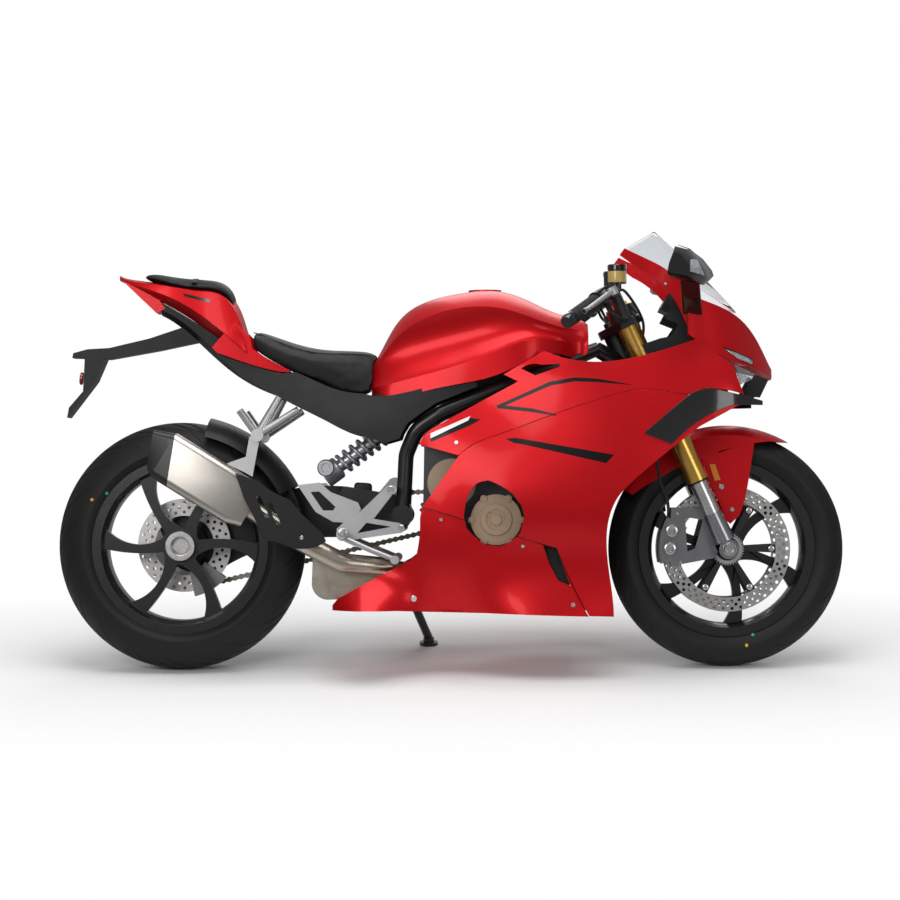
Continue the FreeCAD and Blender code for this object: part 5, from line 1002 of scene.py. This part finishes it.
# Camera as in the photograph: square to the bike's right side, with a slight roll. The picture has
# picture_scale millimetres to a pixel, and the view's middle lies at pixel middle_u, middle_v.
camera_distance = 8100.0
view_middle_x, view_middle_z = 742.0, 457.0
picture_scale = 2.5625
picture_size = 900
roll = math.radians(0.36)
middle_u, middle_v = 472, 489
film = 36.0

camera_data = bpy.data.cameras.new("camera")
camera_data.sensor_width = film
camera_data.lens = film * camera_distance / (picture_scale * picture_size)
camera_data.shift_x = (picture_size / 2 - middle_u) / picture_size
camera_data.shift_y = (middle_v - picture_size / 2) / picture_size
camera_data.clip_end = 100.0
camera = linked("camera", camera_data)
side = math.cos(roll) * ahead - math.sin(roll) * up
top = math.sin(roll) * ahead + math.cos(roll) * up
matrix = np.eye(4)
matrix[:3, 0], matrix[:3, 1], matrix[:3, 2] = side, top, np.cross(side, top)
matrix[:3, 3] = bike(view_middle_x, -camera_distance, view_middle_z)
camera.matrix_world = Matrix(matrix)
bpy.context.scene.camera = camera


# Floor, world and lamps

floor_reach = 2.6
floor_steps = 64
turn = full_turn(floor_steps)
floor_mesh = bpy.data.meshes.new("floor")
floor_mesh.from_pydata(np.column_stack([floor_reach * np.cos(turn), floor_reach * np.sin(turn),
                                        np.zeros(floor_steps)]).tolist(), [],
                       [list(range(floor_steps))])
floor = linked("floor", floor_mesh)
floor_paint = Paint("floor_white", (0.95, 0.95, 0.95), roughness=0.9, specular_ior_level=0.0)
floor_x, floor_y = (floor_paint.node("ShaderNodeSeparateXYZ", {}, {0: floor_paint.place()},
                                     output=axis) for axis in range(2))

# The floor fades out over an ellipse, so that the picture's edges are the world's white.
fade_half_length, fade_half_width, fade_shift = 1.35, 0.62, 0.1
spread_x, spread_y = floor_x / fade_half_length, (floor_y + fade_shift) / fade_half_width
radius = (spread_x * spread_x + spread_y * spread_y) ** 0.5
floor_paint.feed("Alpha", floor_paint.ramp(radius, low=1.6, high=0.55))
floor.data.materials.append(floor_paint.material)

# The world is plain white where it is seen directly or through glass, and lights with a lower strength.
world = bpy.data.worlds.new("world")
bpy.context.scene.world = world
world.use_nodes = True
sky_tree = world.node_tree
background = sky_tree.nodes["Background"]
light_path = sky_tree.nodes.new("ShaderNodeLightPath")
seen = sky_tree.nodes.new("ShaderNodeMath")
seen.operation = "MAXIMUM"
sky_tree.links.new(light_path.outputs["Is Camera Ray"], seen.inputs[0])
sky_tree.links.new(light_path.outputs["Is Transmission Ray"], seen.inputs[1])
strength = sky_tree.nodes.new("ShaderNodeMapRange")
strength.inputs["To Min"].default_value = 0.27
strength.inputs["To Max"].default_value = 1.0
sky_tree.links.new(seen.outputs[0], strength.inputs["Value"])
background.inputs["Color"].default_value = (1.0, 1.0, 1.0, 1.0)
sky_tree.links.new(strength.outputs["Result"], background.inputs["Strength"])


def lamp(name, place, aim, size, power):
    """Soft square lamp that faces a point; places are row metres."""
    data = bpy.data.lights.new(name, "AREA")
    data.size, data.energy = size, power
    thing = linked(name, data)
    thing.location = place
    way = Vector(aim) - Vector(place)
    thing.rotation_euler = way.to_track_quat("-Z", "Y").to_euler()


lamp("overhead", (0.0, -0.6, 3.4), (0.0, 0.0, 0.6), size=2.4, power=75)
lamp("key", (-1.6, -3.6, 2.2), (0.0, 0.0, 0.5), size=1.6, power=42)
lamp("fill", (2.6, -3.2, 1.4), (0.2, 0.0, 0.5), size=1.4, power=18)
lamp("back", (0.4, 3.2, 2.6), (0.0, 0.0, 0.6), size=2.2, power=34)

bpy.context.scene.view_settings.view_transform = "Standard"
bpy.context.scene.cycles.caustics_reflective = False
